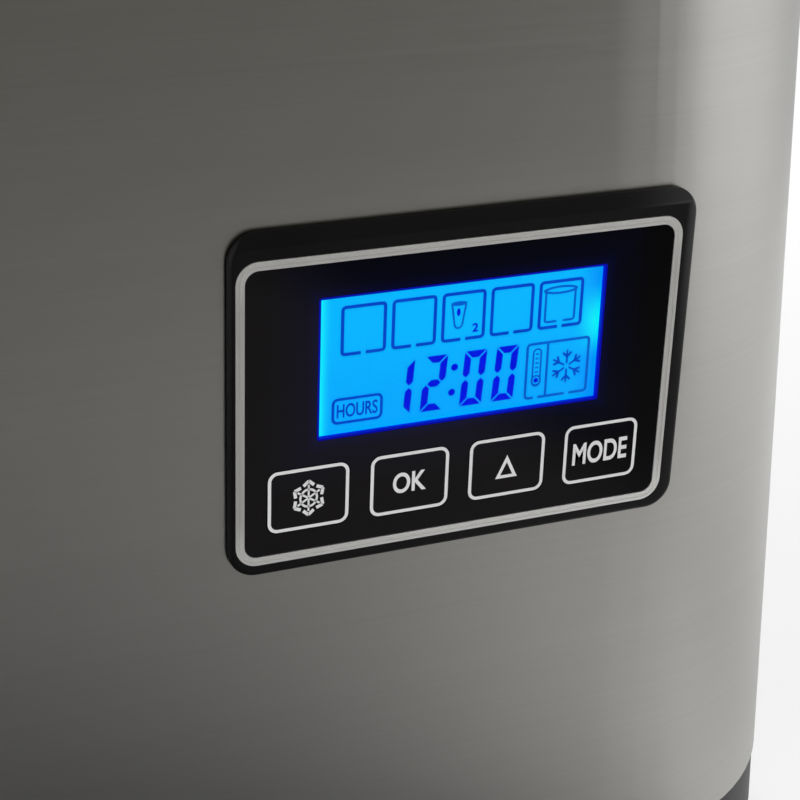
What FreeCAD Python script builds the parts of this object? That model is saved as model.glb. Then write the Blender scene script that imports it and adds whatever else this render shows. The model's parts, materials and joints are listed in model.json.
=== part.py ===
import FreeCAD, Part
import math
import os

from FreeCAD import Vector

# A countertop yogurt maker that ferments warm and then chills. A brushed steel sleeve with leaning sides
# stands on a black base and carries a black deck. A steel tub hangs in an aluminium well under a clear
# lift-off lid. A thermoelectric module under the well is cooled by a finned sink and a fan, and a display
# panel with four keys sits in the front wall. Millimetres, +Z up, front towards -Y, origin on the floor.

# Body
BODY_WIDTH = 294.0          # at the lower edge of the steel sleeve
BODY_DEPTH = 250.0          # front steel face to rear steel face
SIDE_LEAN = 3.5             # degrees that each side wall leans in towards the top
CORNER_RADIUS = 62.0        # upright corners of the sleeve
SHEET = 1.2                 # steel sheet
SLEEVE_HEIGHT = 219.0
SLIP = 0.25                 # slip fit of a plastic rim inside the sleeve
RIM_WALL = 2.4              # plastic rims that plug into the sleeve
RIM_HEIGHT = 9.0

# Base and feet
FOOT_HEIGHT = 6.0
FOOT_RADIUS = 10.0
FOOT_CHAMFER = 1.0
FOOT_STEM_RADIUS = 4.0
FOOT_STEM_END = 1.5         # stem above the base floor
FOOT_INSET_X = 30.2         # in from the lower edge of the sleeve at the sides
FOOT_INSET_Y = 47.0         # in from the front and rear faces
BASE_HEIGHT = 20.0
BASE_INSET = 0.4
BASE_WALL = 3.4
BASE_FLOOR = 3.0
BASE_EDGE = 3.0             # rounded lower edge
INTAKE_RADIUS = 42.0
GRILLE_LIP = 5.0
GRILLE_THICKNESS = 2.0
GRILLE_SLOT = 3.5
GRILLE_PITCH = 7.0

# Deck
DECK_THICKNESS = 10.0
DECK_EDGE = 3.0             # rounded upper edge
LEDGE_DEPTH = 4.0           # seat for the flanges of the well and the tub
FLANGE_WIDTH = 7.0
FIT = 0.3                   # general clearance between loose parts

# Tie bolts that hold deck, sleeve and base together
TIE_INSET_X = 40.2          # in from the lower edge of the sleeve at the sides
TIE_INSET_Y = 27.0          # in from the front and rear faces
TIE_RADIUS = 2.5
TIE_HEAD_RADIUS = 5.0
TIE_HEAD_HEIGHT = 4.0
TIE_GRIP = 12.0             # thread length in the deck
TIE_BOSS_RADIUS = 6.0
TIE_BOSS_WALL = 2.0         # round the sunk head in the base
TIE_SINK = 1.0              # head above the underside of the base
TIE_END_GAP = 1.0
THREAD_GAP = 0.05           # radial clearance of a screw in the hole it threads into
HOLE_GAP = 0.15             # radial clearance of a bolt or screw in its hole

# Tub and well
TUB_RADIUS = 88.0
TUB_DEPTH = 118.0
TUB_WALL = 1.0
TUB_FLOOR_RADIUS = 10.0     # rounded lower edge of the tub
TUB_FLANGE = 1.2            # thickness of the tub's flange
TUB_FLANGE_INSET = 1.0      # inside the edge of the well's flange
TUB_GAP = 2.0
GRIP_ANGLE = 30.0
GRIP_HEIGHT = 6.0
GRIP_INSET = 1.2
GRIP_EDGE = 1.2
LINER_WALL = 1.5

# Lid
LID_RADIUS = 108.0
LID_RIM_WIDTH = 7.0
LID_RIM_HEIGHT = 9.6
LID_LIFT_GAP = 0.4          # rim above the deck, carried by the seal
SEAL_HEIGHT = 3.0
SEAL_WIDTH = 3.0
SEAL_EDGE = 0.6
LID_EDGE = 2.5              # rounded outer edge of the rim
DOME_RISE = 26.0
DOME_WALL = 2.5
DOME_SEAT = 3.0             # depth of the dome's foot in the rim
KNOB_RADIUS = 19.0
KNOB_HEIGHT = 12.0
KNOB_NECK_RADIUS = 8.0
KNOB_NECK_HEIGHT = 8.0
KNOB_EDGE = 4.0
KNOB_PAD_MARGIN = 2.0       # flat pad on the dome round the neck
KNOB_PAD_RISE = 0.6
KNOB_PAD_DROP = 1.0
KNOB_SCREW_RADIUS = 2.0
KNOB_SCREW_HEAD = 2.2

# Heating and cooling
HEATER_HEIGHT = 70.0
HEATER_THICKNESS = 0.85
HEATER_LIFT = 14.0          # heater above the well floor
GLUE_GAP = 0.15
FOAM_RADIUS = 104.0
FOAM_CLEAR = 1.0            # round the back of the control panel
COLD_WIDTH = 104.0
COLD_DEPTH = 60.0
COLD_BLOCK_HEIGHT = 10.0
MODULE_SIZE = 40.0
MODULE_COUNT = 2
MODULE_PITCH = 46.0
MODULE_HEIGHT = 3.8
SINK_SIZE = 112.0
SINK_PLATE = 6.0
FIN_HEIGHT = 34.0
FIN_THICKNESS = 1.6
FIN_COUNT = 17
FAN_SIZE = 92.0
FAN_DEPTH = 25.0
FAN_DUCT_RADIUS = 44.5
FAN_TIP_GAP = 1.0
FAN_HUB_RADIUS = 20.0
FAN_HUB_WALL = 2.0
FAN_BLADES = 7
BLADE_THICKNESS = 1.6
BLADE_PITCH = 48.0          # degrees from upright
FAN_STATOR = 4.0            # motor plate and its struts
FAN_STRUTS = 3
FAN_STRUT_WIDTH = 4.0
FAN_POST_WALL = 3.0         # bearing post round the shaft
FAN_POST_HEIGHT = 8.0
FAN_CORNER = 4.0
FAN_SHAFT_RADIUS = 1.5
FAN_BORE_GAP = 0.05
FAN_HOLE_INSET = 4.75       # screw holes in from the edges of the frame
SCREW_RADIUS = 2.0
SINK_SCREW_GRIP = 6.0       # into the cold block
FAN_SCREW_GRIP = 20.0       # up between the fins
PROBE_RADIUS = 4.0
PROBE_HEIGHT = 9.0

# Control panel, sizes in its own plane, heights counted from the middle of the display
PANEL_X = 33.0              # middle of the display right of the middle of the body
PANEL_DROP = 85.0           # middle of the display below the top of the sleeve
DISPLAY_WIDTH = 62.0
DISPLAY_HEIGHT = 29.3
DISPLAY_RECESS = 1.7        # glass behind the face
PANEL_LEFT = -49.65         # edges of the bezel from the middle of the display
PANEL_RIGHT = 51.7
PANEL_BOTTOM = -43.15
PANEL_TOP = 26.3
PANEL_CORNER = 6.0
PANEL_PROUD = 2.0
PANEL_EDGE = 1.1            # rounding of the outer front edge
BROW_HEIGHT = 3.3           # sloping shoulder above the face
BROW_EDGE = 0.5             # thickness left at the top of the shoulder
GASKET = 0.5
GASKET_INSET = 1.0
TRIM_HALF_WIDTH = 48.35
TRIM_BOTTOM = -40.55
TRIM_TOP = 23.95
TRIM_WIDTH = 1.8
TRIM_GROOVE = 0.5
TRIM_CORNER = 4.6
TRIM_PROUD = 0.15
FACE_THICKNESS = 1.2
FACE_GAP = 0.1
HOUSING_INSET = 1.2         # housing walls inside the outline of the trim
HOUSING_WALL = 3.0
BOX_CORNER = 2.0
LUG_WIDTH = 10.0            # snap lugs behind the front wall
LUG_DEPTH = 2.0
LUG_REACH = 1.6
HOUSING_DEPTH = 16.0        # behind the front steel face
BACK_THICKNESS = 2.0
BOSS_RADIUS = 3.2
BOSS_INSET = 2.2            # screw bosses into the corners of the housing
POST_SIDE = 30.0            # posts that carry the control board
POST_RADIUS = 3.0
FRAME_WALL = 0.4
FRAME_GAP = 0.05
WINDOW_CORNER = 0.2
LENS_THICKNESS = 0.5
GLASS_MARGIN = 2.0
GLASS_THICKNESS = 2.0
BACKLIGHT_THICKNESS = 4.2
BOARD = 1.6                 # circuit boards
BOARD_GAP = 0.5

# Keys
KEY_WIDTH = 17.5
KEY_HEIGHT = 13.7
KEY_RADIUS = 2.2
KEY_PITCH = 22.0
KEY_Z = -27.25
KEY_GAP = 0.15
KEY_LIP = 0.8
KEY_STEM_RADIUS = 2.5
KEY_TRAVEL = 0.5
SWITCH_SIZE = 6.0
SWITCH_HEIGHT = 3.4
SWITCH_CAP_RADIUS = 1.7
SWITCH_CAP_HEIGHT = 0.9
KEY_NAMES = ("key_chill", "key_ok", "key_up", "key_mode")

# Display cable
CABLE_SIDE = 38.0           # right of the middle of the display
CABLE_WIDTH = 8.0
CABLE_THICKNESS = 1.0
CABLE_BEND = 4.0
CABLE_CLEAR = 3.0           # straight run behind the panel before the first bend
CABLE_DROP = 25.0           # below the middle of the display

# Rear panel and power inlet
REAR_HALF_WIDTH = 76.0
REAR_LOW = 40.0
REAR_HIGH = 168.0
REAR_CORNER = 6.0
REAR_OVERLAP = 7.0
REAR_RIM_WALL = 2.5
REAR_RIM_DEPTH = 4.0
LOUVRE_WIDTH = 124.0
LOUVRE_HEIGHT = 3.6
LOUVRE_PITCH = 8.0
LOUVRE_COUNT = 9
LOUVRE_LOW = 88.0
LOUVRE_SLOPE = 0.5
LOUVRE_OVERRUN = 2.0        # slot cuts past both faces
INLET_X = -44.0
INLET_Z = 62.0
INLET_WIDTH = 27.0
INLET_HEIGHT = 19.4
INLET_DEPTH = 24.0
INLET_FLANGE = 2.0
INLET_FLANGE_THICKNESS = 1.4
INLET_WALL = 1.4
INLET_CORNER = 2.5
INLET_SOCKET_DEPTH = 16.0
PIN_WIDTH = 4.0
PIN_THICKNESS = 2.0
PIN_LENGTH = 13.0
PIN_SPREAD = 7.0
PIN_RISE = 4.0
PIN_TAIL = 6.0

# Power board on the base floor
POWER_WIDTH = 124.0
POWER_X = 20.0
POWER_LENGTH = 48.0
POWER_REAR_GAP = 17.0       # board in front of the rear face
STANDOFF = 3.0
STANDOFF_RADIUS = 3.5
STANDOFF_INSET = 6.0
TRANSFORMER = (32.0, 28.0, 26.0)
TRANSFORMER_INSET = 17.2    # from the left end of the power board
CAPACITOR_RADIUS = 8.0
CAPACITOR_HEIGHT = 25.0
COMPONENT_EDGE = 1.0
SMALL_SCREW_RADIUS = 1.4
SMALL_HEAD_RADIUS = 2.7
SMALL_HEAD_HEIGHT = 1.8
SMALL_SCREW_LENGTH = 6.0
FLUSH_HEAD = 1.3            # heads sunk flush in the rear panel
CROSS_REACH = 1.6           # cross recess in those heads
CROSS_WIDTH = 0.8
CROSS_DEPTH = 0.7

# Heights worked out from the sizes above
LEAN = math.tan(math.radians(SIDE_LEAN))
BASE_Z = FOOT_HEIGHT
FLOOR_TOP = BASE_Z + BASE_FLOOR
SLEEVE_Z = BASE_Z + BASE_HEIGHT
TIE_SEAT = BASE_Z + TIE_SINK + TIE_HEAD_HEIGHT
BOARD_SEAT = FLOOR_TOP + STANDOFF
DECK_Z = SLEEVE_Z + SLEEVE_HEIGHT
DECK_TOP = DECK_Z + DECK_THICKNESS
LEDGE_Z = DECK_TOP - LEDGE_DEPTH
LINER_IN = TUB_RADIUS + TUB_GAP
LINER_OUT = LINER_IN + LINER_WALL
FLANGE_OUT = LINER_OUT + FLANGE_WIDTH
TUB_TOP = LEDGE_Z + LINER_WALL
TUB_BOTTOM = TUB_TOP - TUB_DEPTH
WELL_FLOOR = TUB_BOTTOM - FIT
WELL_BOTTOM = WELL_FLOOR - LINER_WALL
BLOCK_BOTTOM = WELL_BOTTOM - COLD_BLOCK_HEIGHT
MODULE_BOTTOM = BLOCK_BOTTOM - MODULE_HEIGHT
PLATE_BOTTOM = MODULE_BOTTOM - SINK_PLATE
FIN_BOTTOM = PLATE_BOTTOM - FIN_HEIGHT
FAN_BOTTOM = FIN_BOTTOM - FAN_DEPTH
SINK_SCREW_TIP = BLOCK_BOTTOM + SINK_SCREW_GRIP
FAN_SCREW_TIP = FIN_BOTTOM + FAN_SCREW_GRIP
FRONT = -BODY_DEPTH / 2
REAR = BODY_DEPTH / 2
FOOT_X = BODY_WIDTH / 2 - FOOT_INSET_X
FOOT_Y = BODY_DEPTH / 2 - FOOT_INSET_Y
TIE_X = BODY_WIDTH / 2 - TIE_INSET_X
TIE_Y = BODY_DEPTH / 2 - TIE_INSET_Y
POWER_FRONT = REAR - POWER_REAR_GAP - POWER_LENGTH
REAR_PROUD = PANEL_PROUD + TRIM_PROUD

# Places in the control panel worked out from the sizes above
PANEL_Z = DECK_Z - PANEL_DROP
FACE_Y = FRONT - PANEL_PROUD
FACE_BACK = FACE_Y + FACE_THICKNESS
GLASS_Y = FACE_Y + DISPLAY_RECESS
LENS_Y = GLASS_Y - LENS_THICKNESS
BACKLIGHT_Y = GLASS_Y + GLASS_THICKNESS
BOARD_Y = BACKLIGHT_Y + BACKLIGHT_THICKNESS
BOARD_BACK = BOARD_Y + BOARD
HOUSING_BACK = FRONT + HOUSING_DEPTH
BOX_HALF = TRIM_HALF_WIDTH - HOUSING_INSET
BOX_LOW = TRIM_BOTTOM + HOUSING_INSET
BOX_HIGH = TRIM_TOP - HOUSING_INSET
ROOM_HALF = BOX_HALF - HOUSING_WALL
ROOM_LOW = BOX_LOW + HOUSING_WALL
ROOM_HIGH = BOX_HIGH - HOUSING_WALL
KEY_X = [PANEL_X + (i - 1.5) * KEY_PITCH for i in range(4)]
CABLE_X = PANEL_X + CABLE_SIDE

# Lid radii and heights worked out from the sizes above
LID_IN = LID_RADIUS - LID_RIM_WIDTH
LID_Z = DECK_TOP + LID_LIFT_GAP
LID_TOP = LID_Z + LID_RIM_HEIGHT
SEAL_IN = (LID_RADIUS + LID_IN - SEAL_WIDTH) / 2
DOME_FOOT = LID_TOP - DOME_SEAT
DOME_OUT = LID_IN + LID_RIM_WIDTH / 2
DOME_TOP = LID_TOP + DOME_RISE
KNOB_SEAT = DOME_TOP + KNOB_PAD_RISE
KNOB_PAD_LOW = DOME_TOP - DOME_WALL - KNOB_PAD_DROP


def half_width(z):
    """Half the outer width of the sleeve at a height."""
    return BODY_WIDTH / 2 - (z - SLEEVE_Z) * LEAN


def leaning_block(z0, z1, inset):
    """The sleeve's rounded outline between two heights, moved in by inset on every side."""
    side = inset / math.cos(math.radians(SIDE_LEAN))
    low, high = half_width(z0) - side, half_width(z1) - side
    y = BODY_DEPTH / 2 - inset
    points = [Vector(-low, -y, z0), Vector(low, -y, z0), Vector(high, -y, z1), Vector(-high, -y, z1)]
    block = Part.Face(Part.makePolygon(points + points[:1])).extrude(Vector(0, 2 * y, 0))
    upright = [e for e in block.Edges if abs(e.Vertexes[0].Z - e.Vertexes[1].Z) > (z1 - z0) / 2]
    return block.makeFillet(CORNER_RADIUS - inset, upright)


def rounded_face(u0, u1, v0, v1, radius, place):
    """A rounded rectangle from (u0, v0) to (u1, v1), with place turning (u, v) into a point."""
    s = radius * (1 - math.sqrt(0.5))
    corners = [(u1, v0, -1, 1), (u1, v1, -1, -1), (u0, v1, 1, -1), (u0, v0, 1, 1)]
    arcs = []
    for i, (u, v, du, dv) in enumerate(corners):
        a, b = (u + du * radius, v), (u, v + dv * radius)
        first, last = (a, b) if i % 2 == 0 else (b, a)
        arcs.append((place(*first), place(u + du * s, v + dv * s), place(*last)))
    edges = []
    for i, (first, middle, last) in enumerate(arcs):
        edges.append(Part.Arc(first, middle, last).toShape())
        edges.append(Part.LineSegment(last, arcs[(i + 1) % 4][0]).toShape())
    return Part.Face(Part.Wire(edges))


def slab_xz(x0, x1, z0, z1, radius, y0, y1):
    """A rounded plate that faces along Y, with its heights counted from the floor."""
    face = rounded_face(x0, x1, z0, z1, radius, lambda u, v: Vector(u, y0, v))
    return face.extrude(Vector(0, y1 - y0, 0))


def panel_slab(half, low, high, radius, y0, y1):
    """A rounded plate in the control panel, with its heights counted from the middle of the display."""
    return slab_xz(PANEL_X - half, PANEL_X + half, PANEL_Z + low, PANEL_Z + high, radius, y0, y1)


def box(x0, x1, y0, y1, z0, z1):
    return Part.makeBox(x1 - x0, y1 - y0, z1 - z0, Vector(x0, y0, z0))


def rod(radius, z0, z1, x=0.0, y=0.0):
    return Part.makeCylinder(radius, z1 - z0, Vector(x, y, z0))


def rod_y(radius, y0, y1, x, z):
    return Part.makeCylinder(radius, y1 - y0, Vector(x, y0, z), Vector(0, 1, 0))


def turned(points):
    """A solid of revolution about Z from (radius, height) points."""
    wire = Part.makePolygon([Vector(r, 0, z) for r, z in points + points[:1]])
    return Part.Face(wire).revolve(Vector(0, 0, 0), Vector(0, 0, 1), 360)


def ring(inner, outer, z0, z1):
    return rod(outer, z0, z1).cut(rod(inner, z0, z1))


def joined(first, *others):
    return first.fuse(list(others)).removeSplitter()


def corners(x, y):
    return [(sx * x, sy * y) for sx in (-1, 1) for sy in (-1, 1)]


def edges_at(shape, z):
    """The edges that lie in a level plane."""
    return [e for e in shape.Edges if abs(e.BoundBox.ZMin - z) < 1e-4 and abs(e.BoundBox.ZMax - z) < 1e-4]


def front_edges(shape, y):
    """The edges that lie in an upright plane along the front."""
    return [e for e in shape.Edges if abs(e.BoundBox.YMin - y) < 1e-4 and abs(e.BoundBox.YMax - y) < 1e-4]


# Body, base and deck

def body_sleeve():
    sleeve = leaning_block(SLEEVE_Z, DECK_Z, 0).cut(leaning_block(SLEEVE_Z, DECK_Z, SHEET))
    half, low, high = rear_opening()
    rear = slab_xz(-half, half, low, high, BOX_CORNER, REAR - SHEET - 1, REAR + 1)
    hole = SMALL_SCREW_RADIUS + HOLE_GAP
    holes = [rod_y(hole, REAR - SHEET - 1, REAR + 1, x, z) for x, z in rear_screw_places()]
    return sleeve.cut([panel_cutout(), rear] + holes)


def base_pan():
    outer = leaning_block(BASE_Z, SLEEVE_Z, BASE_INSET)
    outer = outer.makeFillet(BASE_EDGE, edges_at(outer, BASE_Z))
    room = leaning_block(FLOOR_TOP, SLEEVE_Z, BASE_INSET + BASE_WALL)
    rim_top = SLEEVE_Z + RIM_HEIGHT
    rim = leaning_block(SLEEVE_Z, rim_top, SHEET + SLIP)
    rim = rim.cut(leaning_block(SLEEVE_Z, rim_top, SHEET + SLIP + RIM_WALL))
    pan = joined(outer.cut(room), rim)
    inside = BASE_Z + BASE_FLOOR / 2
    boss = TIE_HEAD_RADIUS + TIE_BOSS_WALL
    bosses = [rod(boss, inside, TIE_SEAT + BASE_FLOOR, x, y) for x, y in corners(TIE_X, TIE_Y)]
    posts = [rod(STANDOFF_RADIUS, inside, BOARD_SEAT, x, y) for x, y in board_screw_places()]
    pan = joined(pan, *bosses, *posts)
    cuts = [rod(INTAKE_RADIUS, BASE_Z - 1, FLOOR_TOP + 1)]
    cuts.append(rod(INTAKE_RADIUS + GRILLE_LIP + FIT, BASE_Z - 1, BASE_Z + GRILLE_THICKNESS))
    for x, y in corners(TIE_X, TIE_Y):
        cuts.append(rod(TIE_RADIUS + HOLE_GAP, BASE_Z - 1, DECK_Z, x, y))
        cuts.append(rod(TIE_HEAD_RADIUS + FIT, BASE_Z - 1, TIE_SEAT, x, y))
    hole = FOOT_STEM_RADIUS + GLUE_GAP
    cuts += [rod(hole, BASE_Z - 1, FLOOR_TOP + 1, x, y) for x, y in corners(FOOT_X, FOOT_Y)]
    cuts += [rod(SMALL_SCREW_RADIUS, inside, DECK_Z, x, y) for x, y in board_screw_places()]
    return pan.cut(cuts)


def rubber_feet():
    feet = []
    for x, y in corners(FOOT_X, FOOT_Y):
        pad = rod(FOOT_RADIUS, 0, FOOT_HEIGHT, x, y)
        pad = pad.makeChamfer(FOOT_CHAMFER, edges_at(pad, 0))
        feet.append(joined(pad, rod(FOOT_STEM_RADIUS, FOOT_HEIGHT, FLOOR_TOP + FOOT_STEM_END, x, y)))
    return Part.makeCompound(feet)


def intake_grille():
    radius = INTAKE_RADIUS + GRILLE_LIP
    plate = rod(radius, BASE_Z, BASE_Z + GRILLE_THICKNESS)
    slots = []
    reach = INTAKE_RADIUS - GRILLE_SLOT
    count = int(reach // GRILLE_PITCH)
    for i in range(-count, count + 1):
        y = i * GRILLE_PITCH
        half = math.sqrt(reach ** 2 - y ** 2)
        half_slot = GRILLE_SLOT / 2
        face = rounded_face(-half, half, y - half_slot, y + half_slot, half_slot * 0.95,
                            lambda u, v: Vector(u, v, BASE_Z - 1))
        slots.append(face.extrude(Vector(0, 0, GRILLE_THICKNESS + 2)))
    return plate.cut(slots)


def tie_bolts():
    bolts = []
    for x, y in corners(TIE_X, TIE_Y):
        low = TIE_SEAT - TIE_HEAD_HEIGHT
        head = rod(TIE_HEAD_RADIUS, low, TIE_SEAT, x, y)
        socket = rod(TIE_RADIUS, low, low + TIE_HEAD_HEIGHT / 2, x, y)
        bolts.append(joined(head.cut(socket), rod(TIE_RADIUS, TIE_SEAT, DECK_Z - TIE_END_GAP, x, y)))
    return Part.makeCompound(bolts)


def top_deck():
    plate = leaning_block(DECK_Z, DECK_TOP, 0)
    plate = plate.makeFillet(DECK_EDGE, edges_at(plate, DECK_TOP))
    low = DECK_Z - RIM_HEIGHT
    rim = leaning_block(low, DECK_Z, SHEET + SLIP).cut(leaning_block(low, DECK_Z, SHEET + SLIP + RIM_WALL))
    bosses = [rod(TIE_BOSS_RADIUS, DECK_Z - TIE_GRIP, DECK_Z + 1, x, y) for x, y in corners(TIE_X, TIE_Y)]
    deck = joined(plate, rim, *bosses)
    cuts = [rod(LINER_OUT + FIT, DECK_Z - 1, DECK_TOP + 1), rod(FLANGE_OUT + FIT, LEDGE_Z, DECK_TOP + 1)]
    hole = TIE_RADIUS + HOLE_GAP
    cuts += [rod(hole, DECK_Z - TIE_GRIP - 1, DECK_Z, x, y) for x, y in corners(TIE_X, TIE_Y)]
    return deck.cut(cuts)


# Well, tub and lid

def well_liner():
    profile = [(0, WELL_BOTTOM), (LINER_OUT, WELL_BOTTOM), (LINER_OUT, LEDGE_Z), (FLANGE_OUT, LEDGE_Z),
               (FLANGE_OUT, TUB_TOP), (LINER_IN, TUB_TOP), (LINER_IN, WELL_FLOOR), (0, WELL_FLOOR)]
    return turned(profile)


def yogurt_tub():
    outer = rod(TUB_RADIUS, TUB_BOTTOM, TUB_TOP + TUB_FLANGE)
    outer = outer.makeFillet(TUB_FLOOR_RADIUS, edges_at(outer, TUB_BOTTOM))
    room = rod(TUB_RADIUS - TUB_WALL, TUB_BOTTOM + TUB_WALL, TUB_TOP + TUB_FLANGE + 1)
    room = room.makeFillet(TUB_FLOOR_RADIUS - TUB_WALL, edges_at(room, TUB_BOTTOM + TUB_WALL))
    flange = ring(TUB_RADIUS - TUB_WALL, tub_flange_radius(), TUB_TOP, TUB_TOP + TUB_FLANGE)
    flange = flange.makeFillet(TUB_FLANGE * 0.45, edges_at(flange, TUB_TOP + TUB_FLANGE))
    return joined(outer.cut(room), flange)


def tub_flange_radius():
    return FLANGE_OUT - TUB_FLANGE_INSET


def tub_grips():
    """Two lugs on the tub's flange, one on each side, to lift it by."""
    seat = TUB_TOP + TUB_FLANGE
    inner, outer = TUB_RADIUS + GRIP_INSET, tub_flange_radius() - GRIP_INSET
    band = ring(inner, outer, seat, seat + GRIP_HEIGHT)
    reach = math.tan(math.radians(GRIP_ANGLE / 2)) * outer
    lugs = []
    for side in (-1, 1):
        x0, x1 = sorted((side * inner * 0.7, side * outer * 1.1))
        lug = band.common(box(x0, x1, -reach, reach, seat, seat + GRIP_HEIGHT))
        lugs.append(lug.makeFillet(GRIP_EDGE, edges_at(lug, seat + GRIP_HEIGHT)))
    return Part.makeCompound(lugs)


def lid_rim():
    body = ring(LID_IN, LID_RADIUS, LID_Z, LID_TOP)
    edges = [e for e in edges_at(body, LID_TOP) if e.Curve.Radius > LID_IN + 1]
    body = body.makeFillet(LID_EDGE, edges)
    groove = ring(SEAL_IN - GLUE_GAP, SEAL_IN + SEAL_WIDTH + GLUE_GAP, LID_Z - 1, DECK_TOP + SEAL_HEIGHT)
    seat = rod(DOME_OUT + GLUE_GAP, DOME_FOOT, LID_TOP + 1)
    return body.cut([groove, seat])


def lid_seal():
    seal = ring(SEAL_IN, SEAL_IN + SEAL_WIDTH, DECK_TOP, DECK_TOP + SEAL_HEIGHT)
    return seal.makeFillet(SEAL_EDGE, edges_at(seal, DECK_TOP))


def dome_cap(radius, foot, top):
    """A solid spherical cap of a radius and two heights."""
    rise = top - foot
    sphere = (radius ** 2 + rise ** 2) / (2 * rise)
    ball = Part.makeSphere(sphere, Vector(0, 0, top - sphere))
    return ball.common(rod(radius, foot, top + 1))


def lid_dome():
    outer = joined(rod(DOME_OUT, DOME_FOOT, LID_TOP), dome_cap(DOME_OUT, LID_TOP, DOME_TOP))
    inner_radius = DOME_OUT - DOME_WALL
    inner = dome_cap(inner_radius, LID_TOP, DOME_TOP - DOME_WALL)
    inner = joined(rod(inner_radius, DOME_FOOT - 1, LID_TOP), inner)
    pad = rod(KNOB_NECK_RADIUS + KNOB_PAD_MARGIN, KNOB_PAD_LOW, KNOB_SEAT)
    return joined(outer.cut(inner), pad).cut(rod(KNOB_SCREW_RADIUS + HOLE_GAP, DOME_FOOT, KNOB_SEAT + 1))


def lid_knob():
    cap_z = KNOB_SEAT + KNOB_NECK_HEIGHT
    top = cap_z + KNOB_HEIGHT
    neck = rod(KNOB_NECK_RADIUS, KNOB_SEAT, cap_z)
    cap = rod(KNOB_RADIUS, cap_z, top)
    cap = cap.makeFillet(KNOB_EDGE, edges_at(cap, top))
    cap = cap.makeFillet(KNOB_EDGE / 2, edges_at(cap, cap_z))
    bore = rod(KNOB_SCREW_RADIUS + HOLE_GAP, KNOB_SEAT - 1, cap_z + KNOB_HEIGHT / 2)
    return joined(neck, cap).cut(bore)


def knob_screw():
    low = KNOB_PAD_LOW - KNOB_SCREW_HEAD
    head = rod(KNOB_SCREW_RADIUS * 2, low, KNOB_PAD_LOW)
    slot_half = KNOB_SCREW_RADIUS / 4
    long = KNOB_SCREW_RADIUS * 3
    slot = box(-long, long, -slot_half, slot_half, low - 1, low + KNOB_SCREW_HEAD / 2)
    tip = KNOB_SEAT + KNOB_NECK_HEIGHT + KNOB_HEIGHT / 3
    return joined(head.cut(slot), rod(KNOB_SCREW_RADIUS, KNOB_PAD_LOW, tip))


# Heating and cooling

def heater_band():
    inner = LINER_OUT + GLUE_GAP
    z = WELL_FLOOR + HEATER_LIFT
    return ring(inner, inner + HEATER_THICKNESS, z, z + HEATER_HEIGHT)


def foam_jacket():
    jacket = rod(FOAM_RADIUS, BLOCK_BOTTOM, DECK_Z - FIT)
    room = rod(LINER_OUT + HEATER_THICKNESS + 2 * GLUE_GAP, WELL_BOTTOM, DECK_Z + 1)
    block = block_box(FIT, BLOCK_BOTTOM - 1, WELL_BOTTOM + 1)
    probe = rod(PROBE_RADIUS + FIT, BLOCK_BOTTOM - 1, WELL_BOTTOM + 1, 0, probe_y())
    half, low, high = BOX_HALF + FOAM_CLEAR, BOX_LOW - FOAM_CLEAR, BOX_HIGH + FOAM_CLEAR
    recess_back = HOUSING_BACK + BACK_THICKNESS + SMALL_HEAD_HEIGHT + FOAM_CLEAR
    recess = panel_slab(half, low, high, BOX_CORNER, FRONT, recess_back)
    return jacket.cut([room, block, probe, recess])


def probe_y():
    return (COLD_DEPTH / 2 + LINER_OUT) / 2


def temperature_probe():
    probe = rod(PROBE_RADIUS, WELL_BOTTOM - PROBE_HEIGHT, WELL_BOTTOM, 0, probe_y())
    return probe.makeChamfer(PROBE_RADIUS / 5, edges_at(probe, WELL_BOTTOM - PROBE_HEIGHT))


def sink_screw_places():
    inset = SCREW_RADIUS * 2
    return corners(COLD_WIDTH / 2 - inset, COLD_DEPTH / 2 - inset)


def block_box(grow, z0, z1):
    """The outline of the cold block, grown on every side."""
    x, y = COLD_WIDTH / 2 + grow, COLD_DEPTH / 2 + grow
    return box(-x, x, -y, y, z0, z1)


def module_boxes(grow, z0, z1):
    half = MODULE_SIZE / 2 + grow
    places = [(i - (MODULE_COUNT - 1) / 2) * MODULE_PITCH for i in range(MODULE_COUNT)]
    return [box(x - half, x + half, -half, half, z0, z1) for x in places]


def cold_block():
    block = block_box(0, BLOCK_BOTTOM, WELL_BOTTOM)
    hole, top = SCREW_RADIUS + HOLE_GAP, SINK_SCREW_TIP + FIT
    return block.cut([rod(hole, BLOCK_BOTTOM - 1, top, x, y) for x, y in sink_screw_places()])


def peltier_modules():
    return Part.makeCompound(module_boxes(0, MODULE_BOTTOM, BLOCK_BOTTOM))


def module_gasket():
    pad = block_box(0, MODULE_BOTTOM, BLOCK_BOTTOM)
    cuts = module_boxes(GLUE_GAP, MODULE_BOTTOM - 1, BLOCK_BOTTOM + 1)
    hole = SCREW_RADIUS + HOLE_GAP
    cuts += [rod(hole, MODULE_BOTTOM - 1, BLOCK_BOTTOM + 1, x, y) for x, y in sink_screw_places()]
    return pad.cut(cuts)


def heat_sink():
    half = SINK_SIZE / 2
    plate = box(-half, half, -half, half, PLATE_BOTTOM, MODULE_BOTTOM)
    pitch = (SINK_SIZE - FIN_THICKNESS) / (FIN_COUNT - 1)
    fins = []
    for i in range(FIN_COUNT):
        x = -half + i * pitch
        fins.append(box(x, x + FIN_THICKNESS, -half, half, FIN_BOTTOM, PLATE_BOTTOM))
    sink = joined(plate, *fins)
    wells = []
    for x, y in sink_screw_places():
        wells.append(rod(SCREW_RADIUS * 2 + FIT, FIN_BOTTOM - 1, PLATE_BOTTOM, x, y))
        wells.append(rod(SCREW_RADIUS + HOLE_GAP, PLATE_BOTTOM - 1, MODULE_BOTTOM + 1, x, y))
    for x, y in fan_screw_places():
        wells.append(rod(SCREW_RADIUS + HOLE_GAP, FIN_BOTTOM - 1, FAN_SCREW_TIP + FIT, x, y))
    return sink.cut(wells)


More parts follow.
